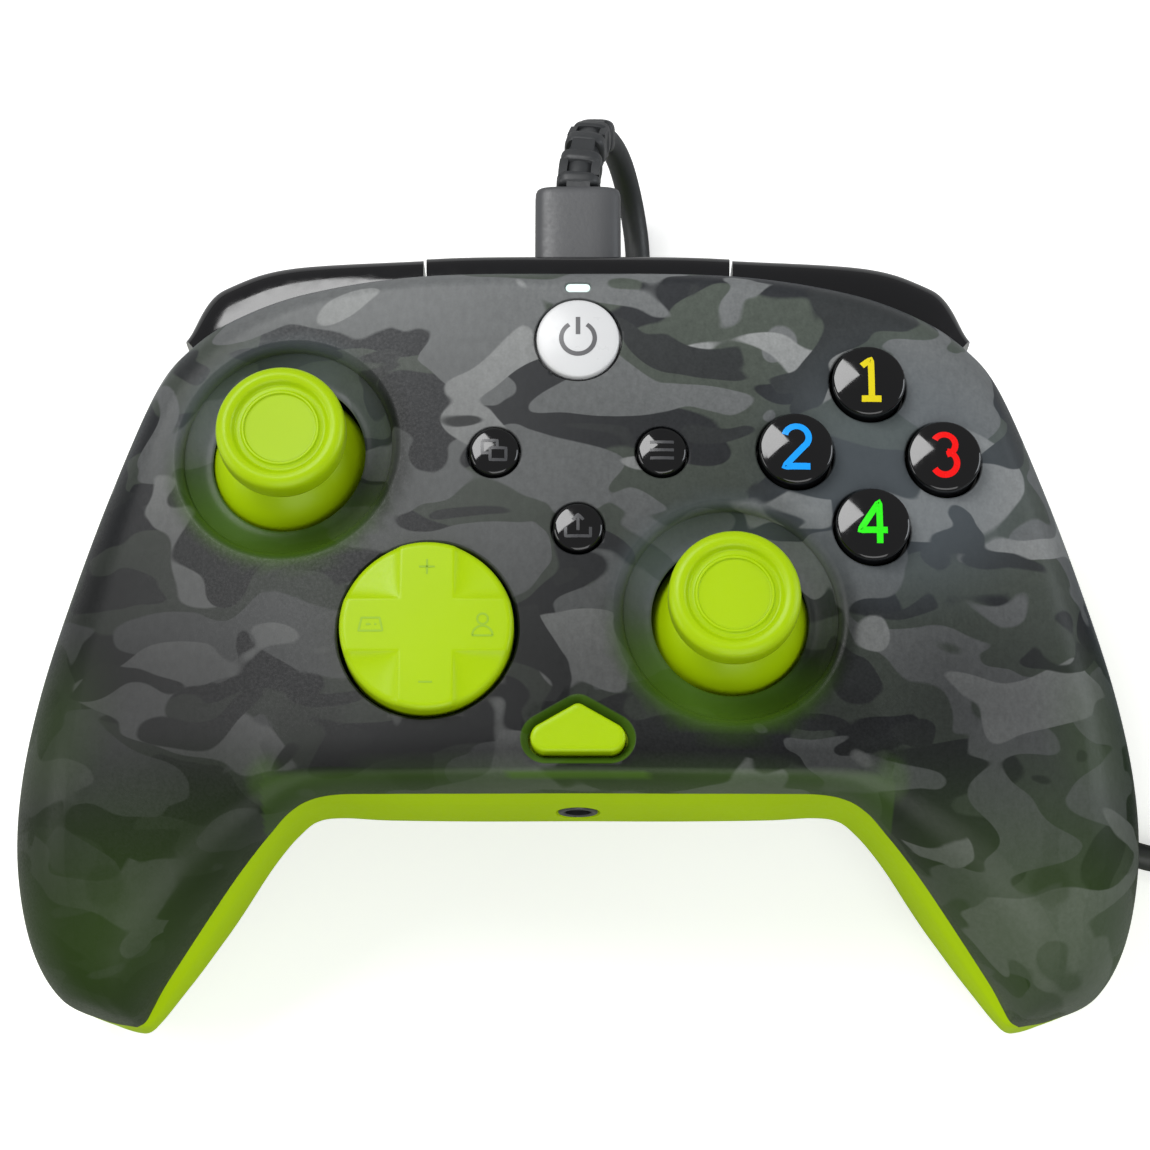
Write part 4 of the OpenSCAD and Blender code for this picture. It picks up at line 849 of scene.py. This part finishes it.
def port_cutter(g):
    half, r = (PLUG_WIDTH - PLUG_THICK) / 2, PLUG_THICK / 2 + g
    ring = pill_outline((0, PLUG_Z), half, r)(0)
    verts = [(x, y, z) for y in (44.0, 60.0) for x, z in ring]
    n = len(ring)
    return verts, grid_faces(2, n, round_m=True) + [tuple(range(n)), tuple(range(n, 2 * n))]


cut(bar, [port_cutter(0.4)])
bevelled(bar, 0.3)
shade(bar, 40.0)
place(bar, "housing", "black_gloss", "centre_bar")

EYE_X = 26.5
for label, s in (("right", 1), ("left", -1)):
    us = [s * lerp(GAP_U + BUMPER_GAP, BUMPER_END, k / 70) for k in range(71)]
    bumper = band_object(label + "_bumper_skin", us, -0.7, bumper_gloss)
    bevelled(bumper, 0.35)
    shade(bumper, 40.0)
    place(bumper, label + "_bumper", "black_gloss", label + "_bumper")
    arm = lathed(label + "_bumper_eye", [(1.6, 0), (3.2, 0), (3.2, 2.6), (1.6, 2.6), (1.6, 0)],
                 (s * EYE_X, 44.0, 32.4), dark, 48)
    place(arm, label + "_bumper", "dark_plastic")
    web_x, rib_x = s * EYE_X, s * 46.9
    block(label + "_bumper_web", (web_x - 2.5, 47.0, 32.4), (web_x + 2.5, 52.5, 35.0), 0.3, label + "_bumper")
    block(label + "_bumper_rib", (rib_x - 1.5, 42.4, 30.0), (rib_x + 1.5, 50.5, 32.0), 0.25, label + "_bumper")

# Triggers
TRIGGER_BOTTOM, TRIGGER_Y, TRIGGER_Z = 10.5, 36.5, 19.6
TRIGGER_X0, TRIGGER_X1, HUB_X, HUB_HALF = 27.4, 51.8, 39.4, 6.2


def trigger_section(x, k):
    u = lerp(1.2, 3.5, (x - TRIGGER_X0) / 24.4)
    o = side(OUT, u)
    top, b = o[2] - band(u) - 1.5, TRIGGER_BOTTOM
    y, h = o[1] - (1 - k) * 2.4, top - b
    c, v = b + h * 0.5, lerp(0.82, 1, k)
    q = [(-3.2, 1), (1.2, 0.98), (3.1, 0.82), (3.9, 0.55), (3.6, 0.28), (2.4, 0.08), (0.6, 0), (-0.5, 0.03),
         (0.6, 0.22), (1.1, 0.45), (0.7, 0.66), (-0.6, 0.76), (-3.2, 0.78)]
    pts = [(y + dy * v, c + (b + h * t - c) * v) for dy, t in q]
    line = rounded([pts[-1]] + pts + [pts[0]], [0] + [0.2] + [1.5] * 10 + [0.3, 0.2] + [0], 4)[1:-1]
    return [[x, p[0], p[1]] for p in line]


for label, s in (("right", 1), ("left", -1)):
    rings = []
    for k in range(61):
        x = lerp(TRIGGER_X0, TRIGGER_X1, k / 60)
        edge = min(x - TRIGGER_X0, TRIGGER_X1 - x) / 3.6
        ring = trigger_section(x, sqrt(1 - (1 - min(1.0, edge)) ** 2))
        rings.append([[s * p[0], p[1], p[2]] for p in ring])
    trigger = solid(label + "_trigger_skin", *loft(rings), dark, 50.0)
    bevelled(trigger, 0.3)
    shade(trigger, 45.0)
    place(trigger, label + "_trigger", "dark_plastic", label + "_trigger")
    hub_profile = [(1.58, -HUB_HALF), (2.9, -HUB_HALF), (2.9, HUB_HALF), (1.58, HUB_HALF), (1.58, -HUB_HALF)]
    hub = lathed(label + "_trigger_hub", hub_profile, (0, 0, 0), dark, 48)
    for v in hub.data.vertices:
        x, y, z = v.co / MM
        v.co = Vector((s * HUB_X + z, TRIGGER_Y + x, TRIGGER_Z + y)) * MM
    place(hub, label + "_trigger", "dark_plastic")
    block(label + "_trigger_arm", (s * HUB_X - HUB_HALF, 38.9, 19.0), (s * HUB_X + HUB_HALF, 44.5, 21.6), 0.4,
          label + "_trigger")

# Stick caps
T = PIVOT_DEPTH + STICK_HEIGHT
CAP_RIM, CAP_INSIDE, CAP_CEILING, BORE_RADIUS, BORE_TOP = 3.3, 10.4, 9.5, 1.9, 15.8


def arc_profile(r, a0, a1, n):
    """Profile along a sphere about the stick's pivot, by angle from the vertical."""
    return [(r * sin(a), r * cos(a)) for a in [lerp(a0, a1, k / n) for k in range(n + 1)]]


for label, p in (("left", LEFT_STICK), ("right", RIGHT_STICK)):
    skirt = arc_profile(SKIRT_RADIUS, 0.53, acos(CAP_RIM / SKIRT_RADIUS), 16)
    inside = arc_profile(CAP_INSIDE, acos(CAP_RIM / CAP_INSIDE), acos(CAP_CEILING / CAP_INSIDE), 8)
    c = CAP_RADIUS / 9
    top = rounded([(0, T - 1.0), (4.6 * c, T - 0.94), (4.92 * c, T - 0.93), (5.02 * c, T - 0.66),
                   (5.28 * c, T - 0.66), (5.45 * c, T - 0.95), (6.2 * c, T - 1.0), (6.7 * c, T - 0.25),
                   (7.7 * c, T + 0.02), (8.85 * c, T - 0.6), (CAP_RADIUS, T - 1.9), (8.95 * c, T - 4.2),
                   (8.3, T - 5.2), (6.6, T - 5.9), (5.75, T - 7.4), (5.8, 10.6), skirt[0]],
                  [0, 0.1, 0.1, 0.06, 0.06, 0.2, 0.25, 0.3, 0.8, 0.8, 0.8, 0.9, 0.8, 0.8, 0.8, 0.4, 0], 5)
    prof = top + skirt[1:] + inside + [(BORE_RADIUS, CAP_CEILING), (BORE_RADIUS, BORE_TOP), (0, BORE_TOP)]
    cap = lathed(label + "_stick_cap_skin", prof, (p[0], p[1], zf(p) - PIVOT_DEPTH), lime, 128, None, 40.0)
    place(cap, label + "_stick_cap", "lime_plastic", label + "_stick_cap")

# Direction pad
DPAD_RADIUS, DPAD_TOP, ARM = 11.65, 2.5, 3.55


def dpad_height(x, y):
    a, b = max(0.0, abs(x) - ARM), max(0.0, abs(y) - ARM)
    m = a * b / (a + b + 0.01)
    return DPAD_TOP - 1.0 * (1 - exp(-m / 1.4)) - 0.0009 * (x * x + y * y)


def dpad_mesh():
    verts, faces, rings = [], [], []
    seg = 288
    zc = zf(DPAD)
    steps = [(DPAD_RADIUS - 0.8) * k / 56 for k in range(1, 57)]
    verts.append([DPAD[0], DPAD[1], zc + dpad_height(0, 0)])
    edge = [("edge", t) for t in (0.25, 0.5, 0.75, 1.0)]
    for r in steps + edge + [("wall", -0.9), ("wall", -4.0), ("in", -4.0)]:
        ring = []
        for k in range(seg):
            a = 2 * pi * k / seg
            if isinstance(r, float):
                x, y = r * cos(a), r * sin(a)
                z = dpad_height(x, y)
            else:
                kind, t = r
                if kind == "edge":
                    rr = DPAD_RADIUS - 0.8 + 0.8 * sin(t * pi / 2)
                    drop = 0.8 * (1 - cos(t * pi / 2))
                else:
                    rr = DPAD_RADIUS - (1.3 if kind == "in" else 0)
                x, y = rr * cos(a), rr * sin(a)
                z = dpad_height(x, y) - drop if kind == "edge" else t
            ring.append(len(verts))
            verts.append([DPAD[0] + x, DPAD[1] + y, zc + z])
        rings.append(ring)
    for k in range(seg):
        faces.append((0, rings[0][k], rings[0][(k + 1) % seg]))
    for a, b in zip(rings, rings[1:]):
        for k in range(seg):
            j = (k + 1) % seg
            faces.append((a[k], b[k], b[j], a[j]))
    return verts, faces


dpad = solid("dpad_cap_skin", *dpad_mesh(), lime, 50.0)
place(dpad, "dpad_cap", "lime_plastic", "dpad_cap")


# Marks: flat strokes laid on a surface, so they follow its curve
def stroke(points, width, height, steps=0.25, closed=False):
    """A ribbon along points, as vertices and quads, at height(x, y)."""
    pts = [np.array(p, float) for p in points]
    if closed:
        pts.append(pts[0])
    fine = []
    for a, b in zip(pts, pts[1:]):
        k = max(1, int(np.linalg.norm(b - a) / steps))
        fine += [lerp(a, b, j / k) for j in range(k)]
    fine.append(pts[-1])
    verts, faces = [], []
    n = len(fine)
    for i, p in enumerate(fine):
        before = fine[i - 1] if i > 0 else (fine[-2] if closed else p)
        after = fine[i + 1] if i < n - 1 else (fine[1] if closed else p)
        t = after - before
        t /= max(np.linalg.norm(t), 1e-9)
        nrm = np.array([-t[1], t[0]])
        for s in (-0.5, 0.0, 0.5):
            q = p + nrm * width * s
            verts.append([q[0], q[1], height(*q)])
    for i in range(n - 1):
        for r in range(2):
            a = 3 * i + r
            faces.append((a, a + 1, a + 4, a + 3))
    return verts, faces


def marks(name, strokes, centre, base, height, width, material, body, slot, scale=1.0, lift=0.03):
    parts = []
    for pts, closed in strokes:
        v, f = stroke([(scale * x, scale * y) for x, y in pts], width, height, closed=closed)
        parts.append(([[centre[0] + x, centre[1] + y, base + z + lift] for x, y, z in v], f))
    obj = new_object(name, *joined(parts), material)
    for poly in obj.data.polygons:
        if poly.normal.z < 0:
            poly.flip()
    place(obj, body, slot)
    return obj


def arc(cx, cy, r, a0, a1, n=24):
    return [(cx + r * cos(radians(lerp(a0, a1, k / n))), cy + r * sin(radians(lerp(a0, a1, k / n))))
            for k in range(n + 1)]


marks("dpad_marks", [
    ([(-1.05, 8.0), (1.05, 8.0)], False), ([(0, 6.95), (0, 9.05)], False),
    ([(-0.9, -7.9), (0.9, -7.9)], False),
    ([(-8.6, 0.9), (-6.2, 0.9), (-5.8, -0.9), (-9.0, -0.9)], True), ([(-8.0, 0), (-7.4, 0)], False),
    ([(-6.9, 0), (-6.6, 0)], False),
    (arc(7.5, 0.75, 0.72, 0, 360), False),
    (arc(7.5, -1.55, 1.35, 0, 180) + [(6.15, -1.55), (8.85, -1.55)], False),
], DPAD, zf(DPAD), dpad_height, 0.26, lime_mark, "dpad_cap", "lime_plastic")

# Buttons
DIGITS = {
    "north": [([(-0.95, 1.75), (0.25, 2.7), (0.25, -2.7)], False), ([(-1.05, -2.7), (1.5, -2.7)], False)],
    "west": [(arc(0, 1.2, 1.55, 165, -35, 20) + [(-1.6, -2.65), (1.7, -2.65)], False)],
    "east": [(arc(-0.1, 1.3, 1.4, 150, -80, 20), False), (arc(-0.1, -1.2, 1.55, 80, -150, 22), False)],
    "south": [([(0.75, -2.8), (0.75, 2.7), (-1.75, -1.1), (1.75, -1.1)], False)],
}


def dome(top, radius):
    return lambda x, y: top - (x * x + y * y) / (2 * radius)


def domed(reach, n, top, radius):
    """Profile of a domed top, from its middle out to reach."""
    return [(reach * k / n, dome(top, radius)(reach * k / n, 0)) for k in range(n + 1)]


for label, p in FACE_BUTTONS.items():
    prof = domed(4.66, 14, 2.7, 14) + [(4.84, 1.87), (4.97, 1.74), (5.04, 1.56), (5.05, 1.3), (5.05, -3.8),
                                       (5.95, -3.8), (5.95, -5.2), (0, -5.2)]
    button = lathed("face_button_%s_skin" % label, prof, (p[0], p[1], zf(p)), gloss, 96, None, 40.0)
    place(button, "face_button_" + label, "black_gloss", "face_button_" + label)
    marks("face_button_%s_number" % label, DIGITS[label], p, zf(p), dome(2.7, 14), 0.88, ink[label],
          "face_button_" + label, "black_gloss", 1.06)

SMALL_MARKS = {
    "view": [([(-1.35, 1.15), (0.35, 1.15), (0.35, 0.35)], False),
             ([(-1.35, 1.15), (-1.35, -0.35), (-0.55, -0.35)], False),
             ([(-0.45, 0.25), (1.35, 0.25), (1.35, -1.15), (-0.45, -1.15)], True)],
    "menu": [([(-1.35, y), (1.35, y)], False) for y in (0.95, 0.0, -0.95)],
    "share": [([(-1.4, -0.1), (-1.4, -1.15), (1.4, -1.15), (1.4, -0.1)], False),
              ([(0, -0.5), (0, 1.35)], False),
              ([(-0.6, 0.75), (0, 1.4), (0.6, 0.75)], False)],
}
for label, p in (("view", VIEW), ("menu", MENU), ("share", SHARE)):
    prof = domed(3.05, 10, 1.0, 13.4) + [(3.2, 0.55), (3.31, 0.42), (3.35, 0.2), (3.35, -2.8), (4.15, -2.8),
                                         (4.15, -4.0), (0, -4.0)]
    button = lathed(label + "_button_skin", prof, (p[0], p[1], zf(p)), gloss, 80, None, 40.0)
    place(button, label + "_button", "black_gloss", label + "_button")
    marks(label + "_button_mark", SMALL_MARKS[label], p, zf(p), dome(1.0, 13.4), 0.42, engraved,
          label + "_button", "black_gloss", 1.2)

prof = domed(5.35, 12, 1.2, 22.8) + [(5.52, 0.5), (5.64, 0.36), (5.7, 0.1), (5.7, -2.8), (6.5, -2.8),
                                     (6.5, -4.0), (0, -4.0)]
home = lathed("home_button_skin", prof, (*HOME, zf(HOME)), pale, 112, None, 40.0)
place(home, "home_button", "pale_plastic", "home_button")
marks("home_button_mark", [(arc(0, -0.2, 2.3, 122, 418, 48), False), ([(0, 0.3), (0, 2.9)], False)],
      HOME, zf(HOME), dome(1.2, 22.8), 0.62, mark_grey, "home_button", "pale_plastic")

levels = [(0.9, -4.0), (0.9, -2.8), (0.0, -2.8), (0.0, 0.25), (-0.06, 0.47), (-0.2, 0.62), (-0.42, 0.7),
          (-0.9, 0.72)]
fbutton = solid("function_button_skin", *prism(function_outline, levels, face_z), lime, 40.0)
shade(fbutton, 40.0)
place(fbutton, "function_button", "lime_plastic", "function_button")

# Lead: the route's points are those of part.scad
BOOT = [[0, PLUG_END - 1, 30.25], [0.1, PLUG_END + 2, 30.1], [0.5, PLUG_END + 5, 29.1],
        [1, PLUG_END + 8, 27.5], [1.7, PLUG_END + 10.7, 25.2], [2.4, PLUG_END + 12.8, 22.4], [3, 80.4, 20]]
ROUTE = [[2.4, 79.3, 22.4], [3, 80.4, 20], [4.7, 81.3, 16], [6.5, 80, 11], [8, 76.5, 6], [9, 71.5, 3],
         [9.5, 66, 2.1], [11, 58.5, 2], [16.5, 53.5, 2], [25, 52, 2], [34, 50, 2], [43, 45, 2], [51, 37, 2],
         [58, 27, 2], [63.5, 15, 2], [67.5, 2, 2], [70.5, -11, 2], [74, -20, 2], [80, -25, 2.1],
         [88, -27, 2.4], [97, -28, 2.8], [107, -28.2, 3], [115.2, -28.2, 3]]
TAIL = [[149.4, 6, 16.2], [149.8, 15, 14.6], [150, 25, 10.4], [149, 34, 6.4], [145, 41, 4.4], [140, 43, 4],
        [136, 43, 4]]
COIL, COIL_Z, COIL_RADIUS, COIL_PITCH = (119, 2.2), 3.0, 30.4, 4.4
COIL_LAYERS, LAYER_TURNS = 4, 4.0625
CORD_RADIUS = 1.9


def coil_point(v):
    k = min(int(v / LAYER_TURNS), COIL_LAYERS - 1)
    t = v - k * LAYER_TURNS
    inner = COIL_RADIUS - LAYER_TURNS * COIL_PITCH
    r = COIL_RADIUS - COIL_PITCH * t if k % 2 == 0 else inner + COIL_PITCH * t
    up = smooth(-0.25, 0.25, t) + (smooth(-0.25, 0.25, t - LAYER_TURNS) if k < COIL_LAYERS - 1 else 0) + k - 1
    z = up - smooth(-0.25, 0.25, t) + 1 if k == 0 else up
    a = 2 * pi * v - pi / 2
    return [COIL[0] + r * cos(a), COIL[1] + r * sin(a), COIL_Z + COIL_PITCH * z]


coil_turns = COIL_LAYERS * LAYER_TURNS
coil_path = [coil_point(k / 36) for k in range(int(36 * coil_turns) + 1)]
run = spline(ROUTE, 110)
tail = spline(TAIL, 40)
path = [list(p) for p in run[:-1]] + coil_path[1:] + [list(p) for p in tail[1:]]
cord = solid("lead_cord", *tube(path, CORD_RADIUS, 14), cord_rubber, 60.0)
place(cord, "cable", "cord_rubber", "cable_run", "cable_coil", "cable_tail")


# Plug and strain relief
def power(v, k):
    """A power that keeps the sign."""
    return abs(v) ** k * (1 if v > 0 else -1)


def plug_ring(y, w, h, k=4.2):
    """Rounded rectangle across the lead at y."""
    pts = []
    for j in range(64):
        a = 2 * pi * (j + 0.5) / 64
        pts.append([w / 2 * power(cos(a), 2 / k), y, PLUG_Z + h / 2 * power(sin(a), 2 / k)])
    return pts


plug_levels = [(48.6, 11.6, 5.6), (48.75, 12.0, 6.0), (49.1, 12.3, 6.3), (52, 12.4, 6.4), (60, 12.4, 6.4),
               (65.2, 12.4, 6.4), (65.9, 12.3, 6.3), (66.3, 12.0, 6.0), (66.47, 11.6, 5.6), (66.5, 11.0, 5.0)]
plug = solid("usb_c_plug_skin", *loft([plug_ring(*v) for v in plug_levels]), plug_skin, 50.0)
place(plug, "cable", "cord_rubber", "usb_c_plug")

BOOT_STEPS = 60
boot_line = spline(BOOT, BOOT_STEPS)
boot_radii = [2.45 - 0.25 * k / BOOT_STEPS for k in range(BOOT_STEPS + 1)]
boot = solid("cable_boot_core", *tube(boot_line, boot_radii, 32), cord_rubber, 60.0)
place(boot, "cable", "cord_rubber", "cable_boot")


def boot_axes(i):
    """Directions across and up at step i of the strain relief's line."""
    t = boot_line[min(i + 1, BOOT_STEPS)] - boot_line[max(i - 1, 0)]
    t /= np.linalg.norm(t)
    up = np.cross([1.0, 0, 0], t)
    up /= np.linalg.norm(up)
    return np.cross(t, up), up


def boot_ring(i, wide, high):
    """Rounded section across the strain relief at step i of its line."""
    across, up = boot_axes(i)
    ring = []
    for j in range(48):
        a = 2 * pi * (j + 0.5) / 48
        x, z = wide * power(cos(a), 0.55), high * power(sin(a), 0.55)
        ring.append(list(boot_line[i] + across * x + up * z))
    return ring


# flat ribs with slots between them: ribs are joined along the middle and at their sides by turns
RIBS = [(5, 10), (16, 22), (28, 34), (40, 46), (51, 59)]
for k, (i0, i1) in enumerate(RIBS):
    g = 1 - 0.035 * k
    steps = [(i0, 0.9)] + [(i, 1.0) for i in range(i0 + 1, i1)] + [(i1, 0.9)]
    rings = [boot_ring(i, 3.2 * g * f, 3.0 * g * f) for i, f in steps]
    place(solid("cable_boot_rib_%d" % k, *loft(rings), cord_rubber, 50.0), "cable", "cord_rubber")
for k in range(len(RIBS)):
    i0, i1 = (RIBS[k - 1][1] - 1 if k else 0), RIBS[k][0] + 1
    g = 1 - 0.035 * k
    spans = [(-1.7, 1.7)] if k % 2 == 0 else [(-3.1 * g, -1.75), (1.75, 3.1 * g)]
    for j, (x0, x1) in enumerate(spans):
        rings = []
        for i in range(i0, i1 + 1):
            up = boot_axes(i)[1]
            h = 2.85 * g if k % 2 == 0 else 2.5 * g
            rings.append([list(boot_line[i] + np.array([x, 0, 0]) + up * z)
                          for x, z in ((x0, -h), (x1, -h), (x1, h), (x0, h))])
        place(solid("cable_boot_web_%d%d" % (k, j), *loft(rings), cord_rubber, 40.0), "cable", "cord_rubber")

# Far end of the lead
usb_rings = []
USB_Y, USB_Z = 43, 4
for x, w, h in ((113.0, 14.4, 6.6), (113.2, 15.0, 7.2), (113.7, 15.4, 7.6), (122, 15.4, 7.6),
                (129.5, 15.2, 7.5), (130.6, 14.6, 7.0), (131.0, 13.6, 6.2)):
    usb_rings.append([[x, USB_Y + p[0], USB_Z + p[2] - PLUG_Z] for p in plug_ring(0, w, h, 5)])
usb_plug = solid("usb_a_plug_skin", *loft(usb_rings), plug_skin, 50.0)
place(usb_plug, "cable", "cord_rubber", "usb_a_plug")
relief = [(130.9, 3.6), (131.2, 3.6), (132.2, 3.4), (132.5, 2.7), (133.1, 2.7), (133.4, 3.2), (134.4, 3.05),
          (134.7, 2.5), (135.3, 2.5), (135.6, 2.85), (136.6, 2.75), (137.3, 2.55), (137.9, 2.3)]
relief_line, relief_radii = [[x, USB_Y, USB_Z] for x, r in relief], [r for x, r in relief]
usb_boot = solid("usb_a_relief", *tube(relief_line, relief_radii, 32), cord_rubber, 50.0)
place(usb_boot, "cable", "cord_rubber")


def strap():
    """Cable tie: a flat band round the coil's turns."""
    tie_in, tie_out = COIL_RADIUS - LAYER_TURNS * COIL_PITCH - 2.6, COIL_RADIUS + 2.5
    high, thick = COIL_Z + 3 * COIL_PITCH + 2.3, 0.7

    def loop(g, r):
        low, top, a, b = 0.75 - g, high + g, tie_in - g, tie_out + g
        c = [(a, low), (b, low), (b, top), (a, top)]
        return rounded([c[-1]] + c + [c[0]], r, 5)[1:-1]
    rings = []
    for w in (-4, 4):
        rings.append([(p, w) for p in loop(thick, 1.2)])
        rings.append([(p, w) for p in loop(0, 0.9)])
    a = radians(135)
    verts = []
    for ring in rings:
        for (r, z), w in ring:
            verts.append([COIL[0] + r * cos(a) - w * sin(a), COIL[1] + r * sin(a) + w * cos(a), z])
    m = len(rings[0])
    faces = []
    for s, t in ((0, 2), (2, 3), (3, 1), (1, 0)):
        for k in range(m):
            j = (k + 1) % m
            faces.append((s * m + k, s * m + j, t * m + j, t * m + k))
    return verts, faces


tie = solid("cable_tie_strap", *strap(), dark, 50.0)
place(tie, "cable", "dark_plastic", "cable_tie")

# Floor, light and camera
floor_mesh = bpy.data.meshes.new("floor")
floor_mesh.from_pydata([(-4, -4, 0), (4, -4, 0), (4, 4, 0), (-4, 4, 0)], [], [(0, 1, 2, 3)])
floor_obj = bpy.data.objects.new("floor", floor_mesh)
bpy.context.scene.collection.objects.link(floor_obj)
floor_white = Nodes("floor_white")
ray = floor_white.add("ShaderNodeLightPath").outputs["Is Camera Ray"]
floor_colour = floor_white.mix(ray, (0.42, 0.42, 0.42), (0.80, 0.80, 0.80))
floor_white.link(floor_colour, floor_white.bsdf.inputs["Base Color"])
floor_white.link(floor_white.math("MULTIPLY", ray, 0.55), floor_white.bsdf.inputs["Emission Strength"])
floor_white.put("Emission Color", (1, 1, 1, 1))
floor_white.put("Roughness", 0.9)
floor_white.put("Specular IOR Level", 0.05)
floor_mesh.materials.append(floor_white.mat)

world = bpy.data.worlds.new("studio")
bpy.context.scene.world = world
world.use_nodes = True
backdrop = world.node_tree.nodes["Background"]
backdrop.inputs["Color"].default_value = (1, 1, 1, 1)
backdrop.inputs["Strength"].default_value = 0.24


def area(name, location, target, size, watts, colour=(1, 1, 1)):
    light = bpy.data.lights.new(name, "AREA")
    light.energy = watts
    light.size = size
    light.color = colour
    obj = bpy.data.objects.new(name, light)
    obj.location = location
    obj.rotation_euler = (Vector(target) - Vector(location)).to_track_quat("-Z", "Y").to_euler()
    bpy.context.scene.collection.objects.link(obj)


area("key", (-0.40, 0.50, 0.90), (0, 0, 0.03), 0.55, 8.0)
area("front", (0.15, -0.75, 0.75), (0, 0, 0.03), 0.8, 4.6)
area("right", (0.85, 0.15, 0.42), (0, 0, 0.04), 0.45, 2.8, (0.90, 0.95, 1.0))
area("left", (-0.85, -0.05, 0.40), (0, 0, 0.04), 0.45, 1.8)

camera_data = bpy.data.cameras.new("camera")
camera_data.lens = 90.28
camera_data.sensor_width = 36.0
camera_data.shift_x = -3 / 1150
camera_data.clip_start = 0.01
camera = bpy.data.objects.new("camera", camera_data)
camera.location = (0, -0.1059, 0.4172)
camera.rotation_euler = (Vector((0, 0.004, 0.046)) - camera.location).to_track_quat("-Z", "Y").to_euler()
bpy.context.scene.collection.objects.link(camera)
bpy.context.scene.camera = camera
bpy.context.scene.view_settings.view_transform = "Standard"

bpy.context.view_layer.update()
